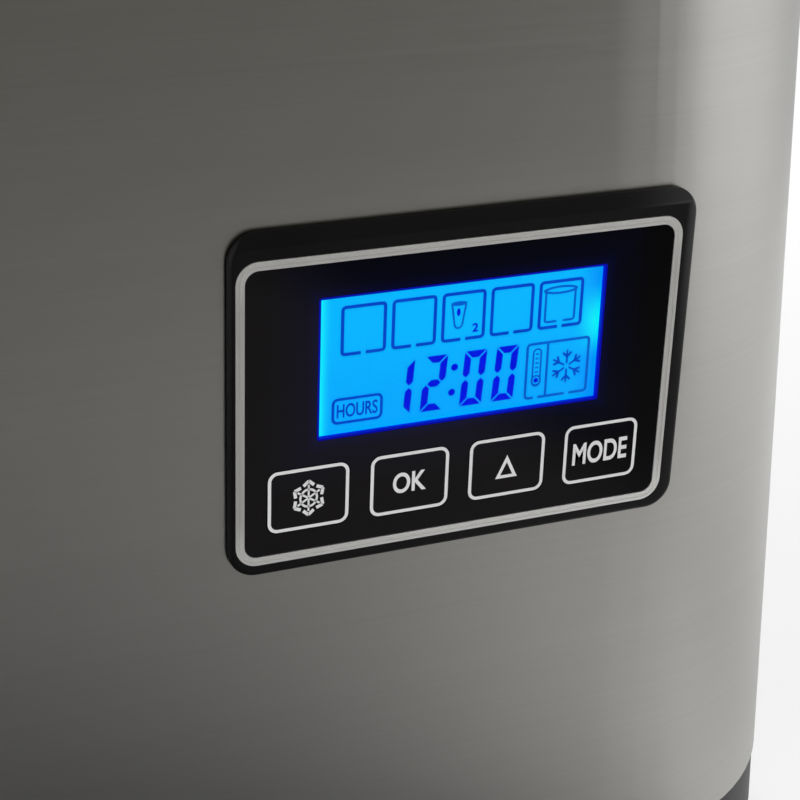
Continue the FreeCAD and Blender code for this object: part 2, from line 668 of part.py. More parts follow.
def sink_screws():
    screws = []
    for x, y in sink_screw_places():
        head = rod(SCREW_RADIUS * 2, PLATE_BOTTOM - SCREW_RADIUS * 1.6, PLATE_BOTTOM, x, y)
        screws.append(joined(head, rod(SCREW_RADIUS, PLATE_BOTTOM, SINK_SCREW_TIP, x, y)))
    return Part.makeCompound(screws)


def fan_frame():
    half = FAN_SIZE / 2
    face = rounded_face(-half, half, -half, half, FAN_CORNER, lambda u, v: Vector(u, v, FAN_BOTTOM))
    frame = face.extrude(Vector(0, 0, FAN_DEPTH)).cut(rod(FAN_DUCT_RADIUS, FAN_BOTTOM - 1, FIN_BOTTOM + 1))
    stator_top = FAN_BOTTOM + FAN_STATOR
    parts = [rod(FAN_HUB_RADIUS, FAN_BOTTOM, stator_top)]
    parts.append(rod(FAN_SHAFT_RADIUS + FAN_POST_WALL, FAN_BOTTOM, stator_top + FAN_POST_HEIGHT))
    for i in range(FAN_STRUTS):
        half = FAN_STRUT_WIDTH / 2
        strut = box(FAN_HUB_RADIUS / 2, FAN_DUCT_RADIUS + half / 2, -half, half, FAN_BOTTOM, stator_top)
        strut.rotate(Vector(0, 0, 0), Vector(0, 0, 1), 30 + 360 * i / FAN_STRUTS)
        parts.append(strut)
    frame = joined(frame, *parts)
    cuts = [rod(FAN_SHAFT_RADIUS + FAN_BORE_GAP, FAN_BOTTOM + FAN_STATOR / 2, FIN_BOTTOM)]
    hole = SCREW_RADIUS + HOLE_GAP
    cuts += [rod(hole, FAN_BOTTOM - 1, FIN_BOTTOM + 1, x, y) for x, y in fan_screw_places()]
    return frame.cut(cuts)


def fan_screw_places():
    place = FAN_SIZE / 2 - FAN_HOLE_INSET
    return corners(place, place)


def fan_rotor():
    low, high = FAN_BOTTOM + FAN_STATOR + FAN_TIP_GAP, FIN_BOTTOM - FAN_TIP_GAP
    wall = FAN_HUB_WALL
    hub = rod(FAN_HUB_RADIUS, low, high).cut(rod(FAN_HUB_RADIUS - wall, low - 1, high - wall))
    hub = hub.makeFillet(wall / 2, edges_at(hub, high))
    shaft = rod(FAN_SHAFT_RADIUS, FAN_BOTTOM + FAN_STATOR * 0.75, high - wall / 2)
    tip = FAN_DUCT_RADIUS - FAN_TIP_GAP
    root = FAN_HUB_RADIUS - wall / 2
    sweep = ring(root, tip, low + wall / 2, high - wall / 2)
    half, reach = BLADE_THICKNESS / 2, high - low
    blades = []
    for i in range(FAN_BLADES):
        blade = box(root / 2, tip + 1, -half, half, -reach, reach)
        blade.rotate(Vector(0, 0, 0), Vector(1, 0, 0), BLADE_PITCH)
        blade.translate(Vector(0, 0, (low + high) / 2))
        blade = blade.common(sweep)
        blade.rotate(Vector(0, 0, 0), Vector(0, 0, 1), 360 * i / FAN_BLADES)
        blades.append(blade)
    return joined(hub, shaft, *blades)


def fan_screws():
    screws = []
    for x, y in fan_screw_places():
        head = rod(SCREW_RADIUS * 2, FAN_BOTTOM - SCREW_RADIUS, FAN_BOTTOM, x, y)
        screws.append(joined(head, rod(SCREW_RADIUS, FAN_BOTTOM, FAN_SCREW_TIP, x, y)))
    return Part.makeCompound(screws)


# Control panel

def bezel_slab(inset, y0, y1):
    """The outline of the bezel and its brow, moved in by inset."""
    x0, x1 = PANEL_X + PANEL_LEFT + inset, PANEL_X + PANEL_RIGHT - inset
    z0, z1 = PANEL_Z + PANEL_BOTTOM + inset, PANEL_Z + PANEL_TOP + BROW_HEIGHT - inset
    return slab_xz(x0, x1, z0, z1, PANEL_CORNER - inset, y0, y1)


def panel_housing():
    """A shallow box through the front wall, with a bezel that follows the wall round into its corner."""
    flange = bezel_slab(0, FACE_Y, FRONT + CORNER_RADIUS)
    flange = flange.makeFillet(PANEL_EDGE, front_edges(flange, FACE_Y))
    left, right = PANEL_X + PANEL_LEFT - 1, PANEL_X + PANEL_RIGHT + 1
    low, top = PANEL_Z + PANEL_TOP, PANEL_Z + PANEL_TOP + BROW_HEIGHT
    brow_y = FRONT - GASKET - BROW_EDGE
    slope = [Vector(left, FACE_Y - 1, low), Vector(left, FACE_Y, low), Vector(left, brow_y, top),
             Vector(left, brow_y, top + 1), Vector(left, FACE_Y - 1, top + 1)]
    wedge = Part.Face(Part.makePolygon(slope + slope[:1])).extrude(Vector(right - left, 0, 0))
    flange = flange.cut([wedge, leaning_block(SLEEVE_Z, DECK_Z, -GASKET)])
    walls = panel_slab(BOX_HALF, BOX_LOW, BOX_HIGH, BOX_CORNER, FRONT - GASKET, HOUSING_BACK)
    lugs = []
    y0, y1 = FRONT + SHEET + GLUE_GAP, FRONT + SHEET + GLUE_GAP + LUG_DEPTH
    half, bite = LUG_WIDTH / 2, HOUSING_WALL / 2
    for x in (PANEL_X - BOX_HALF / 2, PANEL_X + BOX_HALF / 2):
        for edge, out in ((PANEL_Z + BOX_HIGH, 1), (PANEL_Z + BOX_LOW, -1)):
            z0, z1 = sorted((edge - out * bite, edge + out * LUG_REACH))
            lugs.append(box(x - half, x + half, y0, y1, z0, z1))
    room = panel_slab(ROOM_HALF, ROOM_LOW, ROOM_HIGH, BOX_CORNER / 2, FACE_Y - 1, HOUSING_BACK + 1)
    housing = joined(flange, walls, *lugs).cut(room)
    boss_front = BOARD_BACK + BOARD_GAP
    bosses = [rod_y(BOSS_RADIUS, boss_front, HOUSING_BACK, x, z) for x, z in panel_screw_places()]
    housing = joined(housing, *bosses)
    pocket = trim_slab(-FACE_GAP, FACE_Y - 1, FACE_BACK)
    bore = SMALL_SCREW_RADIUS
    bores = [rod_y(bore, boss_front - 1, HOUSING_BACK + 1, x, z) for x, z in panel_screw_places()]
    return housing.cut([pocket] + bores)


def panel_screw_places():
    """Bosses in the corners of the housing, as (x, height from the floor)."""
    x = ROOM_HALF - BOSS_INSET
    heights = (PANEL_Z + ROOM_LOW + BOSS_INSET, PANEL_Z + ROOM_HIGH - BOSS_INSET)
    return [(PANEL_X + side * x, z) for side in (-1, 1) for z in heights]


def panel_gasket():
    pad = bezel_slab(GASKET_INSET, FRONT - GASKET, FRONT + CORNER_RADIUS)
    pad = pad.common(leaning_block(SLEEVE_Z, DECK_Z, -GASKET)).cut(leaning_block(SLEEVE_Z, DECK_Z, 0))
    return pad.cut(panel_cutout())


def panel_cutout():
    """The opening in the front wall that the housing plugs into, also where the wall's corner begins."""
    y0, y1 = FRONT - GASKET - 1, FRONT + CORNER_RADIUS
    return panel_slab(BOX_HALF + FIT, BOX_LOW - FIT, BOX_HIGH + FIT, BOX_CORNER, y0, y1)


def trim_slab(inset, y0, y1):
    """The outline of the silver trim, moved in by inset."""
    radius = TRIM_CORNER - inset
    return panel_slab(TRIM_HALF_WIDTH - inset, TRIM_BOTTOM + inset, TRIM_TOP - inset, radius, y0, y1)


def panel_trim():
    front = FACE_Y - TRIM_PROUD
    band = trim_slab(0, front, FACE_BACK).cut(trim_slab(TRIM_WIDTH, front - 1, FACE_BACK + 1))
    lip = (TRIM_WIDTH - TRIM_GROOVE) / 2
    groove = trim_slab(lip, front - 1, FACE_Y).cut(trim_slab(lip + TRIM_GROOVE, front - 2, FACE_Y + 1))
    return band.cut(groove)


def panel_face():
    plate = trim_slab(TRIM_WIDTH + FACE_GAP, FACE_Y, FACE_BACK)
    grow = FRAME_WALL + FRAME_GAP
    cuts = [window_slab(grow, FACE_Y - 1, FACE_BACK + 1)]
    cuts += [key_slab(x, KEY_GAP, FACE_Y - 1, FACE_BACK + 1) for x in KEY_X]
    return plate.cut(cuts)


def display_frame():
    """A thin rim that lines the display window."""
    rim = window_slab(FRAME_WALL, FACE_Y + FRAME_GAP, FACE_BACK)
    return rim.cut(window_slab(0, FACE_Y - 1, FACE_BACK + 1))


def window_slab(grow, y0, y1):
    """The display window, grown on every side."""
    half, high = DISPLAY_WIDTH / 2 + grow, DISPLAY_HEIGHT / 2 + grow
    return panel_slab(half, -high, high, WINDOW_CORNER + grow, y0, y1)


def display_plate(margin, y0, y1):
    half, high = DISPLAY_WIDTH / 2 + margin, DISPLAY_HEIGHT / 2 + margin
    return box(PANEL_X - half, PANEL_X + half, y0, y1, PANEL_Z - high, PANEL_Z + high)


def display_lens():
    return display_plate(GLASS_MARGIN, LENS_Y, GLASS_Y)


def lcd_glass():
    return display_plate(GLASS_MARGIN, GLASS_Y, BACKLIGHT_Y)


def lcd_backlight():
    return display_plate(GLASS_MARGIN + 1, BACKLIGHT_Y, BOARD_Y)


def control_board():
    gap = BOARD_GAP
    return panel_slab(ROOM_HALF - gap, ROOM_LOW + gap, ROOM_HIGH - gap, BOX_CORNER / 2, BOARD_Y, BOARD_BACK)


def tact_switches():
    switches = []
    half = SWITCH_SIZE / 2
    z = PANEL_Z + KEY_Z
    for x in KEY_X:
        case = box(x - half, x + half, BOARD_Y - SWITCH_HEIGHT, BOARD_Y, z - half, z + half)
        top = BOARD_Y - SWITCH_HEIGHT
        switches.append(joined(case, rod_y(SWITCH_CAP_RADIUS, top - SWITCH_CAP_HEIGHT, top, x, z)))
    return Part.makeCompound(switches)


def key_slab(x, grow, y0, y1):
    half, high = KEY_WIDTH / 2 + grow, KEY_HEIGHT / 2 + grow
    z = PANEL_Z + KEY_Z
    return slab_xz(x - half, x + half, z - high, z + high, KEY_RADIUS + grow, y0, y1)


def panel_key(x):
    """A flush key with a lip behind the face and a stem that stops short of its switch."""
    lip_y = FACE_BACK + FACE_GAP
    stem_end = BOARD_Y - SWITCH_HEIGHT - SWITCH_CAP_HEIGHT - KEY_TRAVEL - FIT
    lip = key_slab(x, KEY_LIP, lip_y, lip_y + KEY_LIP)
    stem = rod_y(KEY_STEM_RADIUS, lip_y + KEY_LIP, stem_end, x, PANEL_Z + KEY_Z)
    return joined(key_slab(x, 0, FACE_Y, lip_y), lip, stem)


def panel_back():
    back = HOUSING_BACK + BACK_THICKNESS
    cover = panel_slab(BOX_HALF, BOX_LOW, BOX_HIGH, BOX_CORNER, HOUSING_BACK, back)
    posts = []
    for x in (PANEL_X - POST_SIDE, PANEL_X + POST_SIDE):
        for z in (ROOM_LOW + 2 * POST_RADIUS, ROOM_HIGH - 2 * POST_RADIUS):
            posts.append(rod_y(POST_RADIUS, BOARD_BACK, HOUSING_BACK, x, PANEL_Z + z))
    hole = SMALL_SCREW_RADIUS + HOLE_GAP
    cuts = [rod_y(hole, HOUSING_BACK - 1, back + 1, x, z) for x, z in panel_screw_places()]
    half, high = CABLE_WIDTH / 2 + FIT, CABLE_THICKNESS / 2 + FIT
    z = PANEL_Z - CABLE_DROP
    cuts.append(box(CABLE_X - half, CABLE_X + half, HOUSING_BACK - 1, back + 1, z - high, z + high))
    return joined(cover, *posts).cut(cuts)


def panel_screws():
    seat = HOUSING_BACK + BACK_THICKNESS
    screws = []
    for x, z in panel_screw_places():
        head = rod_y(SMALL_HEAD_RADIUS, seat, seat + SMALL_HEAD_HEIGHT, x, z)
        shank = rod_y(SMALL_SCREW_RADIUS - THREAD_GAP, seat - SMALL_SCREW_LENGTH, seat, x, z)
        screws.append(joined(head, shank))
    return Part.makeCompound(screws)


def display_cable():
    """A flat cable from the control board, down behind the front wall and along the floor."""
    t, r = CABLE_THICKNESS, CABLE_BEND
    x0, x1 = CABLE_X - CABLE_WIDTH / 2, CABLE_X + CABLE_WIDTH / 2
    top = PANEL_Z - CABLE_DROP + t / 2
    low = BOARD_SEAT + (BOARD - t) / 2
    down = HOUSING_BACK + BACK_THICKNESS + CABLE_CLEAR + r
    upper_bend = (down - r, top - t - r)
    lower_bend = (down + t + r, low + t + r)
    strips = [box(x0, x1, BOARD_BACK, upper_bend[0], top - t, top),
              box(x0, x1, down, down + t, lower_bend[1], upper_bend[1]),
              box(x0, x1, lower_bend[0], POWER_FRONT, low, low + t)]
    return joined(*strips, cable_bend(x0, *upper_bend, 1), cable_bend(x0, *lower_bend, -1))


def cable_bend(x, y, z, side):
    """A quarter turn about a line through (y, z): its upper rear quarter for side 1, the opposite for -1."""
    inner, outer = CABLE_BEND, CABLE_BEND + CABLE_THICKNESS
    along = Vector(1, 0, 0)
    turn = Part.makeCylinder(outer, CABLE_WIDTH, Vector(x, y, z), along)
    turn = turn.cut(Part.makeCylinder(inner, CABLE_WIDTH, Vector(x, y, z), along))
    y0, y1 = sorted((y, y + side * outer))
    z0, z1 = sorted((z, z + side * outer))
    return turn.common(box(x, x + CABLE_WIDTH, y0, y1, z0, z1))


# Rear panel, power inlet and power board

def rear_opening():
    """Half width, low edge and high edge of the opening in the rear wall."""
    return REAR_HALF_WIDTH - REAR_OVERLAP, REAR_LOW + REAR_OVERLAP, REAR_HIGH - REAR_OVERLAP


def rear_screw_places():
    return [(sx * (REAR_HALF_WIDTH - REAR_CORNER), z) for sx in (-1, 1)
            for z in (REAR_LOW + REAR_OVERLAP / 2, REAR_HIGH - REAR_OVERLAP / 2)]


def rear_panel():
    front, wide = REAR + REAR_PROUD, REAR_HALF_WIDTH
    flange = slab_xz(-wide, wide, REAR_LOW, REAR_HIGH, REAR_CORNER, REAR, front)
    half, low, high = rear_opening()
    half, low, high = half - FIT, low + FIT, high - FIT
    inner = REAR_RIM_WALL
    rim = slab_xz(-half, half, low, high, BOX_CORNER, REAR - REAR_RIM_DEPTH, REAR)
    rim = rim.cut(slab_xz(-half + inner, half - inner, low + inner, high - inner, BOX_CORNER / 2,
                          REAR - REAR_RIM_DEPTH - 1, REAR))
    panel = joined(flange, rim)
    cuts = []
    for i in range(LOUVRE_COUNT):
        z = LOUVRE_LOW + i * LOUVRE_PITCH
        face = rounded_face(-LOUVRE_WIDTH / 2, LOUVRE_WIDTH / 2, z - LOUVRE_HEIGHT / 2, z + LOUVRE_HEIGHT / 2,
                            LOUVRE_HEIGHT * 0.45, lambda u, v: Vector(u, REAR - LOUVRE_OVERRUN, v))
        run = REAR_PROUD + 2 * LOUVRE_OVERRUN
        cuts.append(face.extrude(Vector(0, run, -LOUVRE_SLOPE * run)))
    cuts.append(inlet_slab(FIT, REAR - 1, front + 1))
    cuts.append(inlet_slab(INLET_FLANGE + FIT, front - INLET_FLANGE_THICKNESS, front + 1))
    for x, z in rear_screw_places():
        cuts.append(rod_y(SMALL_SCREW_RADIUS + HOLE_GAP, REAR - 1, front + 1, x, z))
        cuts.append(rod_y(SMALL_HEAD_RADIUS + HOLE_GAP, front - FLUSH_HEAD, front + 1, x, z))
    return panel.cut(cuts)


def inlet_slab(grow, y0, y1):
    half, high = INLET_WIDTH / 2 + grow, INLET_HEIGHT / 2 + grow
    return slab_xz(INLET_X - half, INLET_X + half, INLET_Z - high, INLET_Z + high, INLET_CORNER, y0, y1)


def rear_screws():
    face = REAR + REAR_PROUD
    seat = face - FLUSH_HEAD
    long, half = CROSS_REACH, CROSS_WIDTH / 2
    screws = []
    for x, z in rear_screw_places():
        head = rod_y(SMALL_HEAD_RADIUS, seat, face, x, z)
        level = box(x - long, x + long, face - CROSS_DEPTH, face + 1, z - half, z + half)
        upright = box(x - half, x + half, face - CROSS_DEPTH, face + 1, z - long, z + long)
        shank = rod_y(SMALL_SCREW_RADIUS, seat - SMALL_SCREW_LENGTH, seat, x, z)
        screws.append(joined(head.cut([level, upright]), shank))
    return Part.makeCompound(screws)


def pin_places():
    return [(INLET_X - PIN_SPREAD, INLET_Z), (INLET_X, INLET_Z + PIN_RISE), (INLET_X + PIN_SPREAD, INLET_Z)]


def inlet_pins():
    floor = REAR + REAR_PROUD - INLET_SOCKET_DEPTH
    back = REAR + REAR_PROUD - INLET_DEPTH
    pins = []
    for x, z in pin_places():
        w, t = PIN_THICKNESS / 2, PIN_WIDTH / 2
        pins.append(box(x - w, x + w, back - PIN_TAIL, floor + PIN_LENGTH, z - t, z + t))
    return Part.makeCompound(pins)


def power_inlet():
    front = REAR + REAR_PROUD
    body = joined(inlet_slab(0, front - INLET_DEPTH, front),
                  inlet_slab(INLET_FLANGE, front - INLET_FLANGE_THICKNESS, front))
    socket = inlet_slab(-INLET_WALL, front - INLET_SOCKET_DEPTH, front + 1)
    return body.cut([socket] + inlet_pins().Solids)


def board_screw_places():
    x, y = POWER_WIDTH / 2 - STANDOFF_INSET, POWER_LENGTH / 2 - STANDOFF_INSET
    return [(POWER_X + dx, POWER_FRONT + POWER_LENGTH / 2 + dy) for dx, dy in corners(x, y)]


def power_board():
    z = BOARD_SEAT
    half = POWER_WIDTH / 2
    board = box(POWER_X - half, POWER_X + half, POWER_FRONT, POWER_FRONT + POWER_LENGTH, z, z + BOARD)
    hole = SMALL_SCREW_RADIUS + HOLE_GAP
    return board.cut([rod(hole, z - 1, z + BOARD + 1, x, y) for x, y in board_screw_places()])


def power_transformer():
    z = BOARD_SEAT + BOARD
    w, d, h = TRANSFORMER
    y = POWER_FRONT + (POWER_LENGTH - d) / 2
    left = POWER_X - POWER_WIDTH / 2 + TRANSFORMER_INSET
    core = box(left, left + w, y, y + d, z, z + h)
    return core.makeFillet(COMPONENT_EDGE, edges_at(core, z + h))


def power_capacitors():
    z = BOARD_SEAT + BOARD
    cans = []
    for i in range(2):
        x = POWER_X + CAPACITOR_RADIUS * (1.2 + 2.4 * i)
        can = rod(CAPACITOR_RADIUS, z, z + CAPACITOR_HEIGHT, x, POWER_FRONT + POWER_LENGTH / 2)
        cans.append(can.makeFillet(COMPONENT_EDGE, edges_at(can, z + CAPACITOR_HEIGHT)))
    return Part.makeCompound(cans)


def board_screws():
    z = BOARD_SEAT + BOARD
    screws = []
    for x, y in board_screw_places():
        head = rod(SMALL_HEAD_RADIUS, z, z + SMALL_HEAD_HEIGHT, x, y)
        screws.append(joined(head, rod(SMALL_SCREW_RADIUS - THREAD_GAP, z - BOARD - STANDOFF, z, x, y)))
    return Part.makeCompound(screws)


def all_parts():
    makers = [
        body_sleeve, base_pan, rubber_feet, intake_grille, tie_bolts, top_deck,
        well_liner, yogurt_tub, tub_grips, lid_rim, lid_seal, lid_dome, lid_knob, knob_screw,
        heater_band, foam_jacket, temperature_probe, cold_block, peltier_modules, module_gasket,
        heat_sink, sink_screws, fan_frame, fan_rotor, fan_screws,
        panel_housing, panel_gasket, panel_trim, panel_face, display_frame, display_lens, lcd_glass,
        lcd_backlight, control_board, tact_switches, panel_back, panel_screws, display_cable,
        rear_panel, rear_screws, inlet_pins, power_inlet, power_board, power_transformer,
        power_capacitors, board_screws,
    ]
    parts = {maker.__name__: maker() for maker in makers}
    parts.update({name: panel_key(x) for name, x in zip(KEY_NAMES, KEY_X)})
    return parts


os.makedirs("parts", exist_ok=True)
for node, shape in all_parts().items():
    shape.exportStep(f"parts/{node}.step")
    print(node, len(shape.Solids), shape.isValid(), round(shape.Volume, 1))
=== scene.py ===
import json
import math

import bmesh
import bpy
from mathutils import Matrix, Vector


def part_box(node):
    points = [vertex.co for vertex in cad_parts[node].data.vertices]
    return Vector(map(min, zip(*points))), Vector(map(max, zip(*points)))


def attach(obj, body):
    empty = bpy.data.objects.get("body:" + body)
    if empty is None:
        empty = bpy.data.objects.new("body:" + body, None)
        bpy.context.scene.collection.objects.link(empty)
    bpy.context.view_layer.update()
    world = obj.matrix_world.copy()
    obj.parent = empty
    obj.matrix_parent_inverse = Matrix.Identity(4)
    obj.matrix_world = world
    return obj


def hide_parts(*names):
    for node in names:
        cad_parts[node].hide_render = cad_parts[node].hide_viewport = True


# The looks of a countertop yogurt maker: brushed steel sleeve, gloss black control panel with a lit blue
# display and four keys, clear domed lid, black moulded deck, base and rear panel. Metres, +Z up, front -Y.

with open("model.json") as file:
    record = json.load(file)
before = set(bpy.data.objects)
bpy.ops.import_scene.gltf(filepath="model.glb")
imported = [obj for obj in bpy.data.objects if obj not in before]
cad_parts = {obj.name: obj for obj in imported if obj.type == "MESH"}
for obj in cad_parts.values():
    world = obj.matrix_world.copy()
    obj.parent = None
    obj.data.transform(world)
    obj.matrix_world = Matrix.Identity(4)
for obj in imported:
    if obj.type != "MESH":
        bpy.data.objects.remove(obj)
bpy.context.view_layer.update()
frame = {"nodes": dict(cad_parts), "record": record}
nodes = frame["nodes"]

MM = 0.001

# Places read from the frame
GLASS_LOW, GLASS_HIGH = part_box("lcd_glass")
DISPLAY = (GLASS_LOW + GLASS_HIGH) / 2
GLASS_Y = GLASS_LOW.y
FACE_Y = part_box("panel_face")[0].y
LENS_LOW, LENS_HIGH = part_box("display_lens")
TRIM_LOW, TRIM_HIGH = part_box("panel_trim")
SLEEVE_LOW, SLEEVE_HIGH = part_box("body_sleeve")
SURROUND_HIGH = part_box("panel_housing")[1]

# Steel sleeve
SIDE_LEAN = math.tan(math.radians(3.5))
CORNER_RUN = 62.1 * MM          # how far each corner reaches along the front
CORNER_START = SLEEVE_HIGH.x - CORNER_RUN       # at the lower edge
BEND_BEFORE = 10 * MM           # the sheet eases into the bend from this far before its start
BEND_AFTER = 6 * MM             # to this far past it
BEND_FALL = 0.48 * MM           # and falls back by this much

# Panel surround
BROW_HEIGHT = 3.3 * MM          # sloping shoulder above the face
BROW_START = SURROUND_HIGH.z - BROW_HEIGHT - TRIM_HIGH.z        # above the top of the silver line

# Display window
WINDOW_HALF_WIDTH = 31.0 * MM
WINDOW_HALF_HEIGHT = 14.65 * MM
LENS_GAP = 0.15 * MM            # between the window and the glass behind it
INK = 0.02 * MM                 # thickness of the prints

# Camera, placed from the display's corners in the picture
CAMERA_PLACE = Vector((-128.5, -456.2, 311.1)) * MM
CAMERA_FORWARD = Vector((0.37428, 0.83425, -0.40490))
CAMERA_ROLL = math.radians(2.06)
CAMERA_LENS = 89.1


def srgb(red, green, blue):
    """A display colour from 0 to 255 as a linear one with full alpha."""
    def linear(c):
        c /= 255
        return c / 12.92 if c <= 0.04045 else ((c + 0.055) / 1.055) ** 2.4
    return (linear(red), linear(green), linear(blue), 1.0)


def grey(level):
    """A linear grey with full alpha."""
    return (level, level, level, 1.0)


# Shader nodes

class Socket:
    """An output socket of a node tree, with arithmetic that adds Math nodes."""

    def __init__(self, nodes, socket):
        self.nodes = nodes
        self.socket = socket

    def math(self, operation, first, second):
        return self.nodes.add("ShaderNodeMath", {"operation": operation}, {0: first, 1: second})

    def __add__(self, other):
        return self.math("ADD", self, other)

    def __radd__(self, other):
        return self.math("ADD", other, self)

    def __sub__(self, other):
        return self.math("SUBTRACT", self, other)

    def __rsub__(self, other):
        return self.math("SUBTRACT", other, self)

    def __mul__(self, other):
        return self.math("MULTIPLY", self, other)

    def __rmul__(self, other):
        return self.math("MULTIPLY", other, self)

    def larger(self, other):
        """The larger of two values."""
        return self.math("MAXIMUM", self, other)

    def size(self):
        """The value without its sign."""
        return self.math("ABSOLUTE", self, 0.0)


class Nodes:
    """A node tree that is built from nothing."""

    def __init__(self, owner):
        owner.use_nodes = True
        self.tree = owner.node_tree
        self.tree.nodes.clear()

    def add(self, kind, settings=None, inputs=None, output=0):
        """Adds a node, makes its settings, fills or links its sockets, and gives one of its outputs."""
        node = self.tree.nodes.new(kind)
        for name, value in (settings or {}).items():
            setattr(node, name, value)
        for name, value in (inputs or {}).items():
            if isinstance(value, Socket):
                self.tree.links.new(value.socket, node.inputs[name])
            else:
                node.inputs[name].default_value = value
        return Socket(self, node.outputs[output]) if node.outputs else node

    def place(self, scale=(1, 1, 1), shift=(0, 0, 0)):
        """Object coordinates, moved and then scaled."""
        here = self.add("ShaderNodeTexCoord", output="Object")
        there = self.add("ShaderNodeVectorMath", {"operation": "SUBTRACT"}, {0: here, 1: shift})
        return self.add("ShaderNodeVectorMath", {"operation": "MULTIPLY"}, {0: there, 1: scale})

    def axis(self, vector, name):
        return self.add("ShaderNodeSeparateXYZ", None, {0: vector}, name)

    def noise(self, vector, scale, detail=2.0, roughness=0.5):
        return self.add("ShaderNodeTexNoise", None,
                        {"Vector": vector, "Scale": scale, "Detail": detail, "Roughness": roughness})

    def spread(self, value, low, high, first, last):
        """Turns a value from low to high into one from first to last, smoothly and within them."""
        return self.add("ShaderNodeMapRange", {"interpolation_type": "SMOOTHSTEP"},
                        {0: value, 1: low, 2: high, 3: first, 4: last})

    def blend(self, factor, first, second):
        """A colour between two colours."""
        return self.add("ShaderNodeMix", {"data_type": "RGBA"}, {0: factor, 6: first, 7: second}, 2)

    def bump(self, height, strength, distance):
        return self.add("ShaderNodeBump", None,
                        {"Height": height, "Strength": strength, "Distance": distance})


class Finish(Nodes):
    """A procedural material on Object coordinates."""

    def __init__(self, name):
        self.material = bpy.data.materials.new(name)
        super().__init__(self.material)

    def surface(self, **inputs):
        """Closes the material with one surface shader, whose inputs are named with underscores."""
        named = {name.replace("_", " "): value for name, value in inputs.items()}
        shader = self.add("ShaderNodeBsdfPrincipled", None, named)
        self.add("ShaderNodeOutputMaterial", None, {"Surface": shader})
        return self.material


# Finishes

def brushed_steel():
    """Warm grey sheet steel with a level grain, faint smears and a soft start to its bends."""
    steel = Finish("brushed_steel")
    grain = steel.noise(steel.place((6, 6, 1500)), 1.0, 1.0)
    streaks = steel.noise(steel.place((1.5, 1.5, 140)), 1.0, 2.0)
    smears = steel.noise(steel.place(), 14.0, 3.0)
    tone = grain * 0.6 + streaks * 0.4
    color = steel.blend(tone, (0.51, 0.501, 0.478, 1), (0.59, 0.582, 0.559, 1))
    rough = 0.25 + grain * 0.06 + smears * 0.04
    here = steel.place(shift=(0, 0, SLEEVE_LOW.z))
    across = steel.axis(here, "X").size() + steel.axis(here, "Z") * SIDE_LEAN
    bend = steel.spread(across, CORNER_START - BEND_BEFORE, CORNER_START + BEND_AFTER, 0.0, -BEND_FALL)
    return steel.surface(Base_Color=color, Metallic=1.0, Roughness=rough, Anisotropic=0.6,
                         Anisotropic_Rotation=0.25, Normal=steel.bump(bend, 1.0, 1.0))


def moulded_black():
    """Black plastic with a fine moulded grain, a little greyer where it is rubbed."""
    plastic = Finish("moulded_black")
    grain = plastic.noise(plastic.place(), 2600.0, 2.0)
    rub = plastic.noise(plastic.place(), 26.0, 4.0)
    color = plastic.blend(rub, grey(0.0085), (0.0155, 0.0150, 0.0145, 1))
    return plastic.surface(Base_Color=color, Roughness=0.36 + rub * 0.12,
                           Normal=plastic.bump(grain, 0.22, 0.00012))


def satin_black():
    """Smooth black plastic of the panel's surround, with a painted highlight on its brow and round its
    right end.
    """
    satin = Finish("satin_black")
    haze = satin.noise(satin.place(), 60.0, 4.0)
    grain = satin.noise(satin.place(), 3000.0, 1.0)
    here = satin.place(shift=(TRIM_HIGH.x, 0, TRIM_HIGH.z))
    across = satin.axis(here, "X")
    up = satin.axis(here, "Z")
    # Painted highlight: the brow (most along its ridge and towards the right) and the right end are
    # painted paler grey.
    brow = satin.spread(up, BROW_START - 0.3 * MM, BROW_START + 0.2 * MM, 0.0, 1.0)
    ridge_highlight = satin.spread((up - BROW_START).size(), 0.1 * MM, 0.6 * MM, 0.4, 0.0)
    right = satin.spread(across, -20 * MM, 4 * MM, 0.0, 1.0)
    brow_highlight = brow * (ridge_highlight + 0.6) * right * right
    end = satin.spread(across, 0.4 * MM, 2.4 * MM, 0.0, 0.8)
    beside = end * satin.spread(up, -40 * MM, 0.0, 0.1, 1.0)
    color = satin.blend(haze, (0.0022, 0.0022, 0.0026, 1), (0.0046, 0.0044, 0.0044, 1))
    # blend towards the paler grey of the painted highlight
    color = satin.blend(brow_highlight.larger(beside), color, (0.060, 0.060, 0.061, 1))
    return satin.surface(Base_Color=color, Roughness=0.36 + haze * 0.08, Specular_IOR_Level=0.22,
                         Normal=satin.bump(grain, 0.08, 0.00006))


def gloss_black():
    """Polished black plastic of the panel's face and keys: faint wipe marks, a painted reflection that
    makes it paler to the left and below, and a little of the display's blue painted round the window as a
    glow."""
    gloss = Finish("gloss_black")
    wipes = gloss.noise(gloss.place((40, 40, 90)), 1.0, 4.0, 0.6)
    here = gloss.place(shift=DISPLAY)
    across = gloss.axis(here, "X")
    up = gloss.axis(here, "Z")
    # painted reflection: paler towards the left and the bottom, with the random wipe marks on top
    dust_and_reflection = gloss.spread(across * 0.6 + up * 0.8, -16 * MM, 4 * MM, 0.8, 0.0) + wipes * 0.2
    color = gloss.blend(dust_and_reflection, (0.0004, 0.0006, 0.0010, 1), (0.0115, 0.0103, 0.0112, 1))
    beyond = (across.size() - WINDOW_HALF_WIDTH).larger(up.size() - WINDOW_HALF_HEIGHT)
    # painted glow: the display's blue light round the window, as emission in the face
    painted_glow = gloss.spread(beyond, 0.0, 3 * MM, 0.7, 0.0) + gloss.spread(beyond, 0.0, 12 * MM, 0.3, 0.0)
    return gloss.surface(Base_Color=color, Roughness=0.10 + wipes * 0.10, Specular_IOR_Level=0.07,
                         Emission_Color=gloss.blend(painted_glow, grey(0.0), (0.0002, 0.0008, 0.02, 1)),
                         Emission_Strength=1.0)


